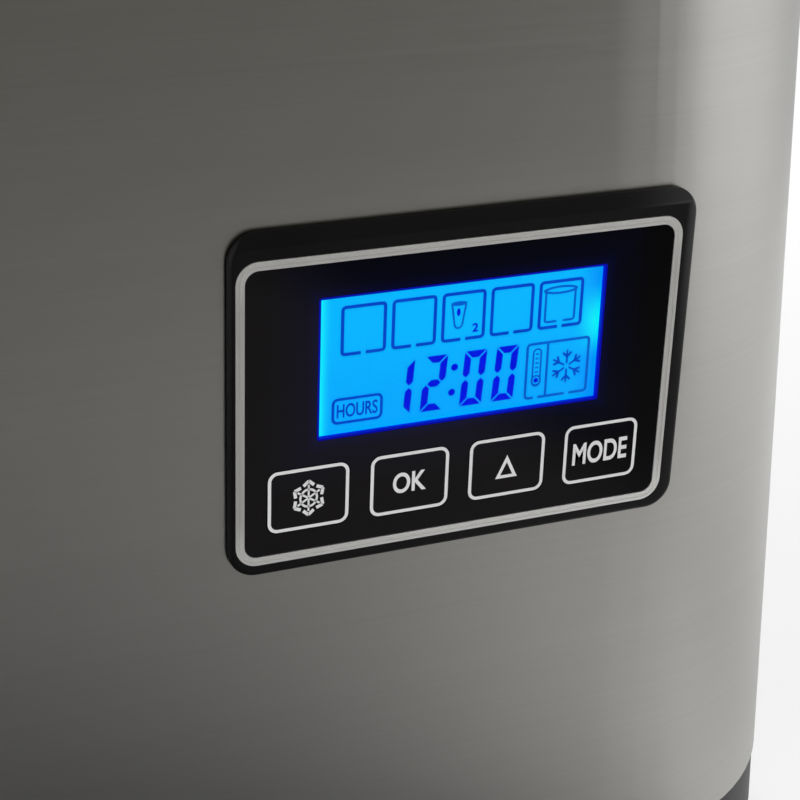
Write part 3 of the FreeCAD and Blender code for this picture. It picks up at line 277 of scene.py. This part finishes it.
def satin_silver():
    """Satin plating of the line round the panel's face, with a painted highlight that makes it brightest
    along its lower and upper runs.
    """
    silver = Finish("satin_silver")
    cloud = silver.noise(silver.place(), 120.0, 3.0)
    up = silver.axis(silver.place(shift=(TRIM_LOW + TRIM_HIGH) / 2), "Z")
    edge = (TRIM_HIGH.z - TRIM_LOW.z) / 2
    # painted highlights: paler along the lower and upper runs, with a random cloud in the tone
    lower = silver.spread(up, -edge + 2 * MM, -edge + 12 * MM, 0.85, 0.0)
    upper = silver.spread(up, edge - 12 * MM, edge - 2 * MM, 0.0, 0.5)
    shine = lower + upper + cloud * 0.15
    color = silver.blend(shine, (0.72, 0.71, 0.69, 1), (0.97, 0.96, 0.94, 1))
    return silver.surface(Base_Color=color, Metallic=0.75, Roughness=0.36 + cloud * 0.1)


def soft_rubber():
    """Black rubber of the feet, the lid's seal and the panel's gasket, with a little dust."""
    rubber = Finish("soft_rubber")
    dust_and_reflection = rubber.noise(rubber.place(), 90.0, 4.0)
    grain = rubber.noise(rubber.place(), 1800.0, 2.0)
    color = rubber.blend(dust_and_reflection, grey(0.012), grey(0.030))
    return rubber.surface(Base_Color=color, Roughness=0.72 + dust_and_reflection * 0.15,
                          Normal=rubber.bump(grain, 0.2, 0.0001))


def satin_aluminium():
    """Drawn aluminium of the well, the cold block and the finned sink."""
    metal = Finish("satin_aluminium")
    draw = metal.noise(metal.place((120, 120, 30)), 1.0, 4.0)
    cloud = metal.noise(metal.place(), 30.0, 3.0)
    color = metal.blend(cloud, (0.66, 0.66, 0.67, 1), (0.78, 0.78, 0.79, 1))
    return metal.surface(Base_Color=color, Metallic=1.0, Roughness=0.34 + draw * 0.14,
                         Normal=metal.bump(draw, 0.08, 0.0002))


def spun_steel():
    """Bright spun steel of the tub, with fine rings from turning."""
    steel = Finish("spun_steel")
    rings = steel.noise(steel.place((1, 1, 700)), 1.0, 2.0)
    haze = steel.noise(steel.place(), 24.0, 3.0)
    color = steel.blend(haze * 0.7 + rings * 0.3, (0.64, 0.635, 0.62, 1), (0.74, 0.735, 0.72, 1))
    return steel.surface(Base_Color=color, Metallic=1.0, Roughness=0.20 + rings * 0.10 + haze * 0.06)


def clear_dome():
    """Clear moulded plastic with a faint haze of fine scratches."""
    clear = Finish("clear_dome")
    haze = clear.noise(clear.place(), 60.0, 5.0, 0.65)
    rough = clear.spread(haze, 0.45, 0.8, 0.015, 0.07)
    return clear.surface(Base_Color=(0.89, 0.92, 0.93, 1), Roughness=rough, Transmission_Weight=1.0,
                         IOR=1.49)


def clear_window():
    """Clear plastic that bends little light, so that the display stays sharp behind it."""
    clear = Finish("clear_window")
    haze = clear.noise(clear.place(), 200.0, 3.0)
    return clear.surface(Base_Color=(0.99, 0.995, 1.0, 1), Roughness=haze * 0.02, Transmission_Weight=1.0,
                         IOR=1.12)


def lit_display():
    """Blue backlit glass: brighter and greener where the lamps at its two ends shine in."""
    glass = Finish("lit_display")
    here = glass.place(shift=DISPLAY)
    across = glass.axis(here, "X")
    up = glass.axis(here, "Z")
    left = glass.spread(across, -WINDOW_HALF_WIDTH, -WINDOW_HALF_WIDTH + 3.0 * MM, 1.0, 0.0)
    end = glass.spread(across, WINDOW_HALF_WIDTH - 6.0 * MM, WINDOW_HALF_WIDTH, 0.0, 1.0)
    right = end * glass.spread((up - 2.2 * MM).size(), 0.0, 9.0 * MM, 1.0, 0.0)
    mottle = glass.noise(here, 90.0, 2.0)
    field = glass.blend(glass.spread(up, -WINDOW_HALF_HEIGHT, WINDOW_HALF_HEIGHT * 0.6, 0.0, 1.0),
                        srgb(0, 165, 250), srgb(0, 180, 252))
    field = glass.blend(mottle * 0.12, field, srgb(4, 170, 255))
    field = glass.blend(end * 0.8, field, srgb(0, 140, 245))
    glow = glass.blend(left.larger(right), field, srgb(12, 238, 252))
    return glass.surface(Base_Color=grey(0.0), Roughness=0.2, Specular_IOR_Level=0.0, Emission_Color=glow,
                         Emission_Strength=1.02)


def lit_rim():
    """The window's inner walls, with the display's light painted on them as a deep blue glow."""
    rim = Finish("lit_rim")
    depth = rim.axis(rim.place(shift=(0, FACE_Y, 0)), "Y")
    # painted glow of the display's light, brighter deeper in the window
    glow = rim.blend(rim.spread(depth, 0.0, 1.3 * MM, 0.0, 1.0), srgb(0, 0, 165), srgb(0, 12, 235))
    return rim.surface(Base_Color=grey(0.0), Roughness=0.4, Specular_IOR_Level=0.1, Emission_Color=glow,
                       Emission_Strength=1.0)


def display_ink(name, dark, light):
    """Dark liquid crystal over the lit glass, a little uneven."""
    ink = Finish(name)
    patch = ink.noise(ink.place(), 260.0, 2.0)
    return ink.surface(Base_Color=grey(0.0), Roughness=0.5, Specular_IOR_Level=0.0,
                       Emission_Color=ink.blend(patch, dark, light), Emission_Strength=1.0)


def white_ink():
    """Screen-printed white on the keys."""
    ink = Finish("white_ink")
    patch = ink.noise(ink.place(), 900.0, 3.0)
    color = ink.blend(patch, grey(0.84), grey(0.93))
    return ink.surface(Base_Color=color, Roughness=0.42 + patch * 0.1)


def milky_plastic():
    """White plastic that spreads the light behind the display."""
    milky = Finish("milky_plastic")
    cloud = milky.noise(milky.place(), 70.0, 3.0)
    return milky.surface(Base_Color=milky.blend(cloud, (0.80, 0.83, 0.86, 1), (0.88, 0.90, 0.92, 1)),
                         Roughness=0.4 + cloud * 0.1, Subsurface_Weight=0.2)


def lacquered_board():
    """Green lacquer, with the copper tracks under it as a paler grid."""
    board = Finish("lacquered_board")
    tracks = board.add("ShaderNodeTexBrick", {"offset": 0.37},
                       {"Vector": board.place(), "Scale": 260.0, "Mortar Size": 0.03,
                        "Color1": grey(0.0), "Color2": grey(0.25), "Mortar": grey(1.0)}, "Color")
    color = board.blend(tracks, (0.008, 0.085, 0.035, 1), (0.03, 0.20, 0.09, 1))
    return board.surface(Base_Color=color, Roughness=0.3, Normal=board.bump(tracks, 0.2, 0.0001))


def grey_plastic():
    """Mid grey moulded switches."""
    plastic = Finish("grey_plastic")
    cloud = plastic.noise(plastic.place(), 300.0, 3.0)
    color = plastic.blend(cloud, grey(0.09), grey(0.15))
    return plastic.surface(Base_Color=color, Roughness=0.42 + cloud * 0.1)


def zinc_steel():
    """Zinc-plated screws and bolts."""
    zinc = Finish("zinc_steel")
    cloud = zinc.noise(zinc.place(), 400.0, 3.0)
    color = zinc.blend(cloud, (0.48, 0.48, 0.50, 1), (0.66, 0.66, 0.67, 1))
    return zinc.surface(Base_Color=color, Metallic=1.0, Roughness=0.28 + cloud * 0.16)


def heater_sheet():
    """Orange silicone sheet with the weave of its glass cloth."""
    sheet = Finish("heater_sheet")
    weave = sheet.add("ShaderNodeTexChecker", None, {"Vector": sheet.place(), "Scale": 900.0}, "Fac")
    color = sheet.blend(weave, (0.62, 0.16, 0.035, 1), (0.74, 0.23, 0.06, 1))
    return sheet.surface(Base_Color=color, Roughness=0.6, Normal=sheet.bump(weave, 0.2, 0.0001))


def white_foam():
    """Foam with open cells."""
    foam = Finish("white_foam")
    cells = foam.add("ShaderNodeTexVoronoi", None, {"Vector": foam.place(), "Scale": 420.0}, "Distance")
    color = foam.blend(cells, (0.86, 0.85, 0.81, 1), (0.72, 0.71, 0.67, 1))
    return foam.surface(Base_Color=color, Roughness=0.9, Normal=foam.bump(cells, 0.5, 0.0006))


def fired_ceramic():
    """Off-white plates of the thermoelectric modules."""
    ceramic = Finish("fired_ceramic")
    speck = ceramic.noise(ceramic.place(), 700.0, 3.0)
    return ceramic.surface(Base_Color=ceramic.blend(speck, (0.80, 0.79, 0.76, 1), (0.88, 0.87, 0.85, 1)),
                           Roughness=0.5 + speck * 0.1)


def bare_brass():
    """Brass of the inlet's pins and the probe, unevenly tarnished."""
    brass = Finish("bare_brass")
    tarnish = brass.noise(brass.place(), 220.0, 4.0)
    color = brass.blend(tarnish, (0.62, 0.44, 0.17, 1), (0.80, 0.62, 0.30, 1))
    return brass.surface(Base_Color=color, Metallic=1.0, Roughness=0.24 + tarnish * 0.16)


def flat_cable():
    """Grey ribbon of parallel wires."""
    cable = Finish("flat_cable")
    ribs = cable.add("ShaderNodeTexWave", {"bands_direction": "X"},
                     {"Vector": cable.place(), "Scale": 260.0}, "Fac")
    return cable.surface(Base_Color=cable.blend(ribs, grey(0.32), grey(0.48)), Roughness=0.5,
                         Normal=cable.bump(ribs, 0.4, 0.0003))


def taped_winding():
    """Yellow tape round a transformer, in overlapping layers."""
    tape = Finish("taped_winding")
    layers = tape.add("ShaderNodeTexWave", {"bands_direction": "Z"},
                      {"Vector": tape.place(), "Scale": 90.0, "Distortion": 0.6}, "Fac")
    color = tape.blend(layers, (0.60, 0.45, 0.07, 1), (0.80, 0.64, 0.14, 1))
    return tape.surface(Base_Color=color, Roughness=0.35, Normal=tape.bump(layers, 0.2, 0.0002))


def sleeved_can():
    """Dark blue sleeve of the capacitors."""
    can = Finish("sleeved_can")
    cloud = can.noise(can.place(), 160.0, 2.0)
    return can.surface(Base_Color=can.blend(cloud, (0.018, 0.035, 0.13, 1), (0.03, 0.06, 0.20, 1)),
                       Roughness=0.25 + cloud * 0.1)


FINISHES = {
    "sleeve_steel": brushed_steel(),
    "black_plastic": moulded_black(),
    "panel_gloss": gloss_black(),
    "trim_silver": satin_silver(),
    "black_rubber": soft_rubber(),
    "well_aluminium": satin_aluminium(),
    "tub_steel": spun_steel(),
    "lid_clear": clear_dome(),
    "display_clear": clear_window(),
    "display_blue": lit_display(),
    "backlight_white": milky_plastic(),
    "board_green": lacquered_board(),
    "switch_grey": grey_plastic(),
    "screw_steel": zinc_steel(),
    "heater_orange": heater_sheet(),
    "foam_white": white_foam(),
    "ceramic_white": fired_ceramic(),
    "contact_brass": bare_brass(),
    "cable_grey": flat_cable(),
    "winding_yellow": taped_winding(),
    "can_blue": sleeved_can(),
}
NODE_FINISHES = {
    "display_frame": lit_rim(),
    "panel_housing": satin_black(),
}
WHITE_INK = white_ink()
DIGIT_INK = display_ink("digit_ink", srgb(0, 4, 205), srgb(0, 22, 236))
LINE_INK = display_ink("line_ink", srgb(0, 50, 192), srgb(0, 76, 212))
FINE_INK = display_ink("fine_ink", srgb(0, 76, 200), srgb(2, 100, 216))


def dress_frame():
    """Gives every piece of the frame the finish of its material slot, or its own."""
    for part in frame["record"]["subparts"]:
        name = part["node"]
        finish = NODE_FINISHES.get(name, FINISHES[part["material_slot"]])
        for holder in nodes[name].material_slots:
            holder.material = finish


# Pieces

def make_piece(name, mesh, finish, body, hidden=()):
    """A finished piece from a bmesh: it rides on a body, takes a slot's finish and may stand for nodes."""
    data = bpy.data.meshes.new(name)
    mesh.to_mesh(data)
    mesh.free()
    data.materials.append(finish)
    piece = bpy.data.objects.new(name, data)
    bpy.context.scene.collection.objects.link(piece)
    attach(piece, body)
    if hidden:
        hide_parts(*hidden)


def merged(shapes):
    """One bmesh that holds all the shapes."""
    whole = bmesh.new()
    for shape in shapes:
        data = bpy.data.meshes.new("shape")
        shape.to_mesh(data)
        shape.free()
        whole.from_mesh(data)
        bpy.data.meshes.remove(data)
    return whole


def moved(shape, x=0.0, y=0.0, turn=0.0):
    """The flat shape turned by degrees about the origin and then moved, both in its own plane."""
    swing = Matrix.Rotation(math.radians(turn), 3, "Z")
    bmesh.ops.rotate(shape, cent=(0, 0, 0), matrix=swing, verts=shape.verts)
    bmesh.ops.translate(shape, vec=(x, y, 0), verts=shape.verts)
    return shape


# Flat shapes in millimetres, x to the right and y up

def plate(width, height, radius=0.0):
    """A rectangle, with rounded corners where a radius is given."""
    shape = bmesh.new()
    bmesh.ops.create_grid(shape, x_segments=1, y_segments=1, size=0.5)
    bmesh.ops.scale(shape, vec=(width, height, 1), verts=shape.verts)
    if radius:
        bmesh.ops.bevel(shape, geom=shape.verts[:], offset=radius, offset_type="OFFSET", affect="VERTICES",
                        segments=6, profile=0.5, material=-1)
    return shape


def hollowed(shape, stroke):
    """Leaves a line along the edge of a flat shape."""
    middle = shape.faces[:]
    bmesh.ops.inset_region(shape, faces=middle, thickness=stroke, use_even_offset=True, use_boundary=True)
    bmesh.ops.delete(shape, geom=middle, context="FACES")
    return shape


def cut_gap(shape, x, width, below):
    """Takes a gap out of the line of a hollowed shape, about x and below a height."""
    for side in (-0.5, 0.5):
        bmesh.ops.bisect_plane(shape, geom=shape.verts[:] + shape.edges[:] + shape.faces[:],
                               plane_co=(x + side * width, 0, 0), plane_no=(1, 0, 0))
    inside = [f for f in shape.faces if abs(f.calc_center_median().x - x) < width / 2
              and f.calc_center_median().y < below]
    bmesh.ops.delete(shape, geom=inside, context="FACES")
    return shape


def bar(start, end, stroke):
    """A straight line between two points."""
    start, end = Vector(start), Vector(end)
    along = end - start
    middle = (start + end) / 2
    turn = math.degrees(math.atan2(along.y, along.x))
    return moved(plate(along.length, stroke), middle.x, middle.y, turn)


def disc(radius, x=0.0, y=0.0, squeeze=1.0):
    """A round face, made flatter or taller by squeeze."""
    shape = bmesh.new()
    bmesh.ops.create_circle(shape, cap_ends=True, segments=32, radius=radius)
    bmesh.ops.scale(shape, vec=(1, squeeze, 1), verts=shape.verts)
    return moved(shape, x, y)


def polygon(points):
    """One face through the points."""
    shape = bmesh.new()
    shape.faces.new([shape.verts.new((x, y, 0)) for x, y in points])
    shape.normal_update()
    return shape


def lettering(words, width, height, weight):
    """Plain capitals or figures as a flat shape of a width and height, thickened by weight."""
    curve = bpy.data.curves.new("lettering", "FONT")
    curve.body = words
    curve.offset = weight
    holder = bpy.data.objects.new("lettering", curve)
    bpy.context.scene.collection.objects.link(holder)
    bpy.context.view_layer.update()
    data = bpy.data.meshes.new_from_object(holder.evaluated_get(bpy.context.evaluated_depsgraph_get()))
    bpy.data.objects.remove(holder)
    shape = bmesh.new()
    shape.from_mesh(data)
    bpy.data.meshes.remove(data)
    low = Vector(min(v.co[i] for v in shape.verts) for i in range(3))
    high = Vector(max(v.co[i] for v in shape.verts) for i in range(3))
    bmesh.ops.translate(shape, vec=-(low + high) / 2, verts=shape.verts)
    size = high - low
    bmesh.ops.scale(shape, vec=(width / size.x, height / size.y, 1), verts=shape.verts)
    return shape


def printed(shapes, place):
    """Flat millimetre shapes as a thin print that stands on a point of a wall and faces the front."""
    whole = merged(shapes)
    bmesh.ops.scale(whole, vec=(MM, MM, MM), verts=whole.verts)
    grown = bmesh.ops.extrude_face_region(whole, geom=whole.faces[:])
    top = [v for v in grown["geom"] if isinstance(v, bmesh.types.BMVert)]
    bmesh.ops.translate(whole, vec=(0, 0, INK), verts=top)
    bmesh.ops.recalc_face_normals(whole, faces=whole.faces[:])
    for face in whole.faces:
        face.smooth = False
    stand = Matrix.Translation(place) @ Matrix.Rotation(math.radians(90), 4, "X")
    bmesh.ops.transform(whole, matrix=stand, verts=whole.verts)
    return whole


# Key prints

KEY_LINE_WIDTH = 17.3
KEY_LINE_HEIGHT = 13.5
KEY_LINE_CORNER = 2.1
KEY_LINE_STROKE = 0.7
KEY_WORD_WEIGHT = 0.022         # of the letters' own size
STAR_SQUEEZE = 0.93


def snow_star():
    """A six-armed snow star: spokes in a small wheel, and a chevron past each spoke's end."""
    shapes = [hollowed(disc(2.15), 0.5)]
    for i in range(6):
        shapes.append(moved(bar((0, 0.15), (0, 2.9), 0.45), turn=60 * i))
        for side in (-1, 1):
            shapes.append(moved(bar((0, 3.75), (side * 1.2, 2.75), 0.72), turn=60 * i))
    for shape in shapes:
        bmesh.ops.scale(shape, vec=(STAR_SQUEEZE, 1, 1), verts=shape.verts)
    return shapes


def up_arrow():
    """A triangle drawn with one line."""
    return [hollowed(polygon([(-2.5, -2.7), (2.5, -2.7), (0, 2.5)]), 0.7)]


KEY_SIGNS = {
    "chill": snow_star,
    "ok": lambda: [lettering("OK", 7.4, 4.6, KEY_WORD_WEIGHT)],
    "up": up_arrow,
    "mode": lambda: [lettering("MODE", 13.0, 5.1, KEY_WORD_WEIGHT)],
}


def key_prints():
    """The white line round each key and the sign inside it, which go in with the key."""
    for sign, shapes in KEY_SIGNS.items():
        low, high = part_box(f"key_{sign}")
        line = hollowed(plate(KEY_LINE_WIDTH, KEY_LINE_HEIGHT, KEY_LINE_CORNER), KEY_LINE_STROKE)
        place = ((low.x + high.x) / 2, low.y, (low.z + high.z) / 2)
        print_mesh = printed([line] + shapes(), place)
        make_piece(f"{sign}_print", print_mesh, WHITE_INK, f"{sign}_key")


# Display prints, in millimetres from the middle of the display

BOX_WIDTHS = (9.7, 9.7, 9.7, 9.7, 10.2)
BOX_HEIGHT = 10.6
BOX_CORNER = 1.0
BOX_STROKE = 0.72
BOX_FIRST = -26.2               # left edge of the first box
BOX_PITCH = 10.78
BOX_MIDDLE = 6.95               # height of the row
LINE_GAP = 1.0                  # gap in a box's lower line
DIGIT_WIDTH = 5.0
DIGIT_HEIGHT = 12.0
DIGIT_STROKE = 1.55
DIGIT_GAP = 0.22
DIGIT_SLANT = math.tan(math.radians(4.3))
DIGIT_SEGMENTS = {"0": "abcdef", "1": "bc", "2": "abged"}
CLOCK_LOW = -12.85
CLOCK_FIGURES = (("1", -15.9), ("2", -8.7), ("0", 0.05), ("0", 7.2))       # figure and left edge
COLON_DOTS = ((-1.3, -3.95), (-1.7, -9.4))
COLON_RADIUS = 0.78
CUP_PLACE = (-0.9, 7.2)
CUP_STROKE = 0.42
CUP_DROP = (-0.95, 7.9)
COUNT_PLACE = (2.9, 4.15)       # the small figure beside the cup
TUB_PLACE = (21.9, 6.9)
TUB_RIM_PLACE = (21.85, 10.0)
TUB_STROKE = 0.5
TUBE_PLACE = (17.4, -6.6)       # thermometer
BULB_PLACE = (17.4, -9.45)
MARK_START = 17.0
MARK_END = 17.8
MARK_FIRST = -3.6               # height of the top mark, with the others 1 mm apart
MARK_COUNT = 5
FROST_PLACE = (24.35, -7.2)
CHILL_BOX_PLACE = (22.15, -7.3)
CHILL_BOX_GAPS = (-4.65, 2.6)
CHILL_BOX_STROKE = 0.6
DIVIDER_X = 19.75               # between thermometer and frost star
DIVIDER_HIGH = -1.25
DIVIDER_LOW = -13.35
TAG_PLACE = (-22.3, -10.05)
TAG_STROKE = 0.6


def digit(figure, left, low):
    """A seven-segment figure with mitred ends, leaning a little to the right."""
    width, height, stroke, gap = DIGIT_WIDTH, DIGIT_HEIGHT, DIGIT_STROKE, DIGIT_GAP
    mid = height / 2
    half = stroke / 2
    start = stroke + gap
    end = width - stroke - gap
    upright = [(0, mid + half + gap), (half, mid + gap), (stroke, mid + half + gap),
               (stroke, height - stroke - gap), (0, height - gap)]
    level = [(gap, height), (width - gap, height), (end, height - stroke), (start, height - stroke)]
    outlines = {
        "a": level,
        "d": [(x, height - y) for x, y in level],
        "f": upright,
        "b": [(width - x, y) for x, y in upright],
        "e": [(x, height - y) for x, y in upright],
        "c": [(width - x, height - y) for x, y in upright],
        "g": [(half + gap, mid), (start, mid + half), (end, mid + half), (width - half - gap, mid),
              (end, mid - half), (start, mid - half)],
    }
    shapes = []
    for name in DIGIT_SEGMENTS[figure]:
        points = [(left + x + y * DIGIT_SLANT, low + y) for x, y in outlines[name]]
        shapes.append(polygon(points))
    return shapes


def clock():
    """The time, as a timer shows it."""
    shapes = []
    for figure, left in CLOCK_FIGURES:
        shapes += digit(figure, left, CLOCK_LOW)
    return shapes + [disc(COLON_RADIUS, *place) for place in COLON_DOTS]


def mode_boxes():
    """A row of five boxes, each with a gap in its lower line."""
    shapes = []
    for i, width in enumerate(BOX_WIDTHS):
        box = cut_gap(hollowed(plate(width, BOX_HEIGHT, BOX_CORNER), BOX_STROKE), 0.0, LINE_GAP, 0.0)
        shapes.append(moved(box, BOX_FIRST + width / 2 + i * BOX_PITCH, BOX_MIDDLE))
    return shapes


def cup_sign():
    """A tapered cup seen from the side."""
    cup = polygon([(-1.8, 2.7), (-1.0, -2.3), (-0.4, -2.9), (0.4, -2.9), (1.0, -2.3), (1.8, 2.7)])
    rim = disc(1.8, 0, 2.55, 0.28)
    return [moved(hollowed(shape, CUP_STROKE), *CUP_PLACE) for shape in (cup, rim)]


def tub_sign():
    """A round tub with an open top."""
    rim = hollowed(disc(3.95, *TUB_RIM_PLACE, 0.235), TUB_STROKE)
    wall = cut_gap(hollowed(plate(7.2, 7.9, 0.8), TUB_STROKE), 0.1, 1.4, 0.0)
    top = [f for f in wall.faces if f.calc_center_median().y > 3.3]
    bmesh.ops.delete(wall, geom=top, context="FACES")
    return [rim, moved(wall, *TUB_PLACE)]


def thermometer():
    """A tube with a bulb and marks. The drop in its bulb is bold and comes with the figures."""
    tube = moved(hollowed(plate(2.15, 8.6, 1.05), 0.38), *TUBE_PLACE)
    bulb = hollowed(disc(1.2, *BULB_PLACE), 0.36)
    heights = [MARK_FIRST - i for i in range(MARK_COUNT)]
    return [tube, bulb] + [bar((MARK_START, height), (MARK_END, height), 0.34) for height in heights]


def frost_star():
    """Six arms round an open middle, each with two twigs."""
    shapes = []
    for i in range(6):
        shapes.append(moved(bar((0, 0.6), (0, 3.7), 0.42), *FROST_PLACE, 60 * i))
        for side in (-1, 1):
            shapes.append(moved(bar((0, 2.1), (side * 1.0, 3.1), 0.5), *FROST_PLACE, 60 * i))
    return shapes


def chill_box():
    """The box round thermometer and frost star, with a line between them."""
    box = hollowed(plate(14.75, 12.6, BOX_CORNER), CHILL_BOX_STROKE)
    for x in CHILL_BOX_GAPS:
        box = cut_gap(box, x, LINE_GAP, 0.0)
    divider = bar((DIVIDER_X, DIVIDER_HIGH), (DIVIDER_X, DIVIDER_LOW), 0.55)
    return [moved(box, *CHILL_BOX_PLACE), divider]


def timer_tag():
    """The word beside the clock, in a rounded frame."""
    shapes = [hollowed(plate(11.0, 5.7, 1.3), TAG_STROKE), lettering("HOURS", 8.8, 3.0, 0.02)]
    return [moved(shape, *TAG_PLACE) for shape in shapes]


def display_prints():
    """Everything dark on the lit glass, in three inks from bold to fine."""
    place = (DISPLAY.x, GLASS_Y, DISPLAY.z)
    count = moved(lettering("2", 1.4, 1.9, 0.03), *COUNT_PLACE)
    bold = clock() + [count, disc(0.55, *BULB_PLACE), disc(0.42, *CUP_DROP, 2.0)]
    make_piece("display_figures", printed(bold, place), DIGIT_INK, "housing")
    lines = mode_boxes() + frost_star() + timer_tag()
    make_piece("display_boxes", printed(lines, place), LINE_INK, "housing")
    fine = cup_sign() + tub_sign() + thermometer() + chill_box()
    make_piece("display_signs", printed(fine, place), FINE_INK, "housing")


def display_window():
    """The clear window in front of the display, with a hair of room for the glass behind it."""
    size = LENS_HIGH - LENS_LOW
    depth = size.y - LENS_GAP
    window = bmesh.new()
    bmesh.ops.create_cube(window, size=1.0)
    bmesh.ops.scale(window, vec=(size.x, depth, size.z), verts=window.verts)
    bmesh.ops.bevel(window, geom=window.edges[:], offset=0.1 * MM, offset_type="OFFSET", affect="EDGES",
                    segments=2, profile=0.5, material=-1)
    middle = (LENS_LOW + LENS_HIGH) / 2
    bmesh.ops.translate(window, vec=(middle.x, LENS_LOW.y + depth / 2, middle.z), verts=window.verts)
    make_piece("display_window", window, FINISHES["display_clear"], "housing",
               ["display_lens"])


# Studio

FLOOR_RADIUS = 0.9
FLOOR_WHITE = 0.7               # share of plain white in the floor as the eye sees it
FADE_START = 0.35               # from the middle of the floor
FADE_END = 0.85


def world_light():
    """White to the eye and through clear pieces. Metal mirrors a dim room in front and pale walls
    elsewhere, which turn greyer towards the back."""
    world = bpy.data.worlds.new("studio")
    bpy.context.scene.world = world
    sky = Nodes(world)
    here = sky.add("ShaderNodeTexCoord", output="Generated")
    y = sky.axis(here, "Y")
    side = sky.axis(here, "X").size() * 0.81 + y * 0.59         # from the front towards both sides
    walls = sky.blend(sky.spread(y, -0.2, 0.6, 0.0, 1.0), grey(0.93), grey(0.58))
    room = sky.blend(sky.spread(side, -0.13, 0.40, 0.0, 1.0), (0.136, 0.132, 0.120, 1), walls)
    mirrored = sky.add("ShaderNodeLightPath", output="Is Glossy Ray")
    seen = sky.add("ShaderNodeLightPath", output="Is Camera Ray")
    through = sky.add("ShaderNodeLightPath", output="Is Transmission Ray")
    soft = sky.blend(mirrored, grey(0.12), room)
    light = sky.add("ShaderNodeBackground", None,
                    {"Color": sky.blend(seen.larger(through), soft, grey(1.0)), "Strength": 1.0})
    sky.add("ShaderNodeOutputWorld", None, {"Surface": light})


def soft_lamp(name, place, aim, size, power):
    """A square lamp that lights the pieces without being mirrored or seen through the lid."""
    lamp = bpy.data.lights.new(name, "AREA")
    lamp.size = size
    lamp.energy = power
    holder = bpy.data.objects.new(name, lamp)
    holder.location = place
    holder.rotation_mode = "QUATERNION"
    holder.rotation_quaternion = (Vector(aim) - Vector(place)).to_track_quat("-Z", "Y")
    holder.visible_camera = False
    holder.visible_glossy = False
    holder.visible_transmission = False
    bpy.context.scene.collection.objects.link(holder)


def floor_sheet():
    """A pale round floor that fades out into the white. Its colour holds painted light and shadow: dark
    towards the front left, paler to the right, with a painted shadow band beyond that. The eye sees it
    whiter than the metal does.
    """
    sheet = bmesh.new()
    bmesh.ops.create_circle(sheet, cap_ends=True, segments=96, radius=FLOOR_RADIUS)
    data = bpy.data.meshes.new("floor")
    sheet.to_mesh(data)
    sheet.free()
    pale = Finish("pale_floor")
    here = pale.place()
    reach = pale.add("ShaderNodeVectorMath", {"operation": "LENGTH"}, {0: here}, "Value")
    slant = pale.axis(here, "X") + pale.axis(here, "Y") * 0.6   # towards the right and the back
    # painted shadow: a darker band across the floor further to the right and back
    shade = pale.spread(slant, 0.05, 0.17, 1.0, 0.6) + pale.spread(slant, 0.17, 0.40, 0.0, 0.12)
    # painted light and shade: the floor colour is dark towards the front left and paler to the right
    tone = pale.spread(slant, -0.16, 0.12, 0.0, 1.0) * shade
    matt = pale.add("ShaderNodeBsdfDiffuse", None, {"Color": pale.blend(tone, grey(0.36), grey(0.57))})
    white = pale.add("ShaderNodeEmission", None, {"Color": grey(1.0), "Strength": 1.0})
    seen = pale.add("ShaderNodeLightPath", output="Is Camera Ray")
    through = pale.add("ShaderNodeLightPath", output="Is Transmission Ray")
    share = seen.larger(through) * FLOOR_WHITE
    lit = pale.add("ShaderNodeMixShader", None, {0: share, 1: matt, 2: white})
    clear = pale.add("ShaderNodeBsdfTransparent")
    fade = pale.spread(reach, FADE_START, FADE_END, 0.0, 1.0)
    pale.add("ShaderNodeOutputMaterial", None,
             {"Surface": pale.add("ShaderNodeMixShader", None, {0: fade, 1: lit, 2: clear})})
    data.materials.append(pale.material)
    floor = bpy.data.objects.new("floor", data)
    bpy.context.scene.collection.objects.link(floor)


def studio():
    world_light()
    floor_sheet()
    soft_lamp("front_lamp", place=(-1.30, -1.30, 0.18), aim=(0.0, -0.1, 0.16), size=0.6, power=25.0)
    soft_lamp("back_lamp", place=(0.80, 1.35, 1.0), aim=(0.0, 0.0, 0.1), size=1.6, power=88.0)


def camera():
    """The picture's own point of view."""
    eye = bpy.data.cameras.new("camera")
    eye.lens = CAMERA_LENS
    eye.clip_start = 0.01
    holder = bpy.data.objects.new("camera", eye)
    holder.location = CAMERA_PLACE
    level = CAMERA_FORWARD.to_track_quat("-Z", "Y").to_matrix()
    holder.rotation_mode = "QUATERNION"
    holder.rotation_quaternion = (level @ Matrix.Rotation(CAMERA_ROLL, 3, "Z")).to_quaternion()
    bpy.context.scene.collection.objects.link(holder)
    bpy.context.scene.camera = holder


bpy.context.scene.view_settings.view_transform = "Standard"
dress_frame()
key_prints()
display_prints()
display_window()
studio()
camera()
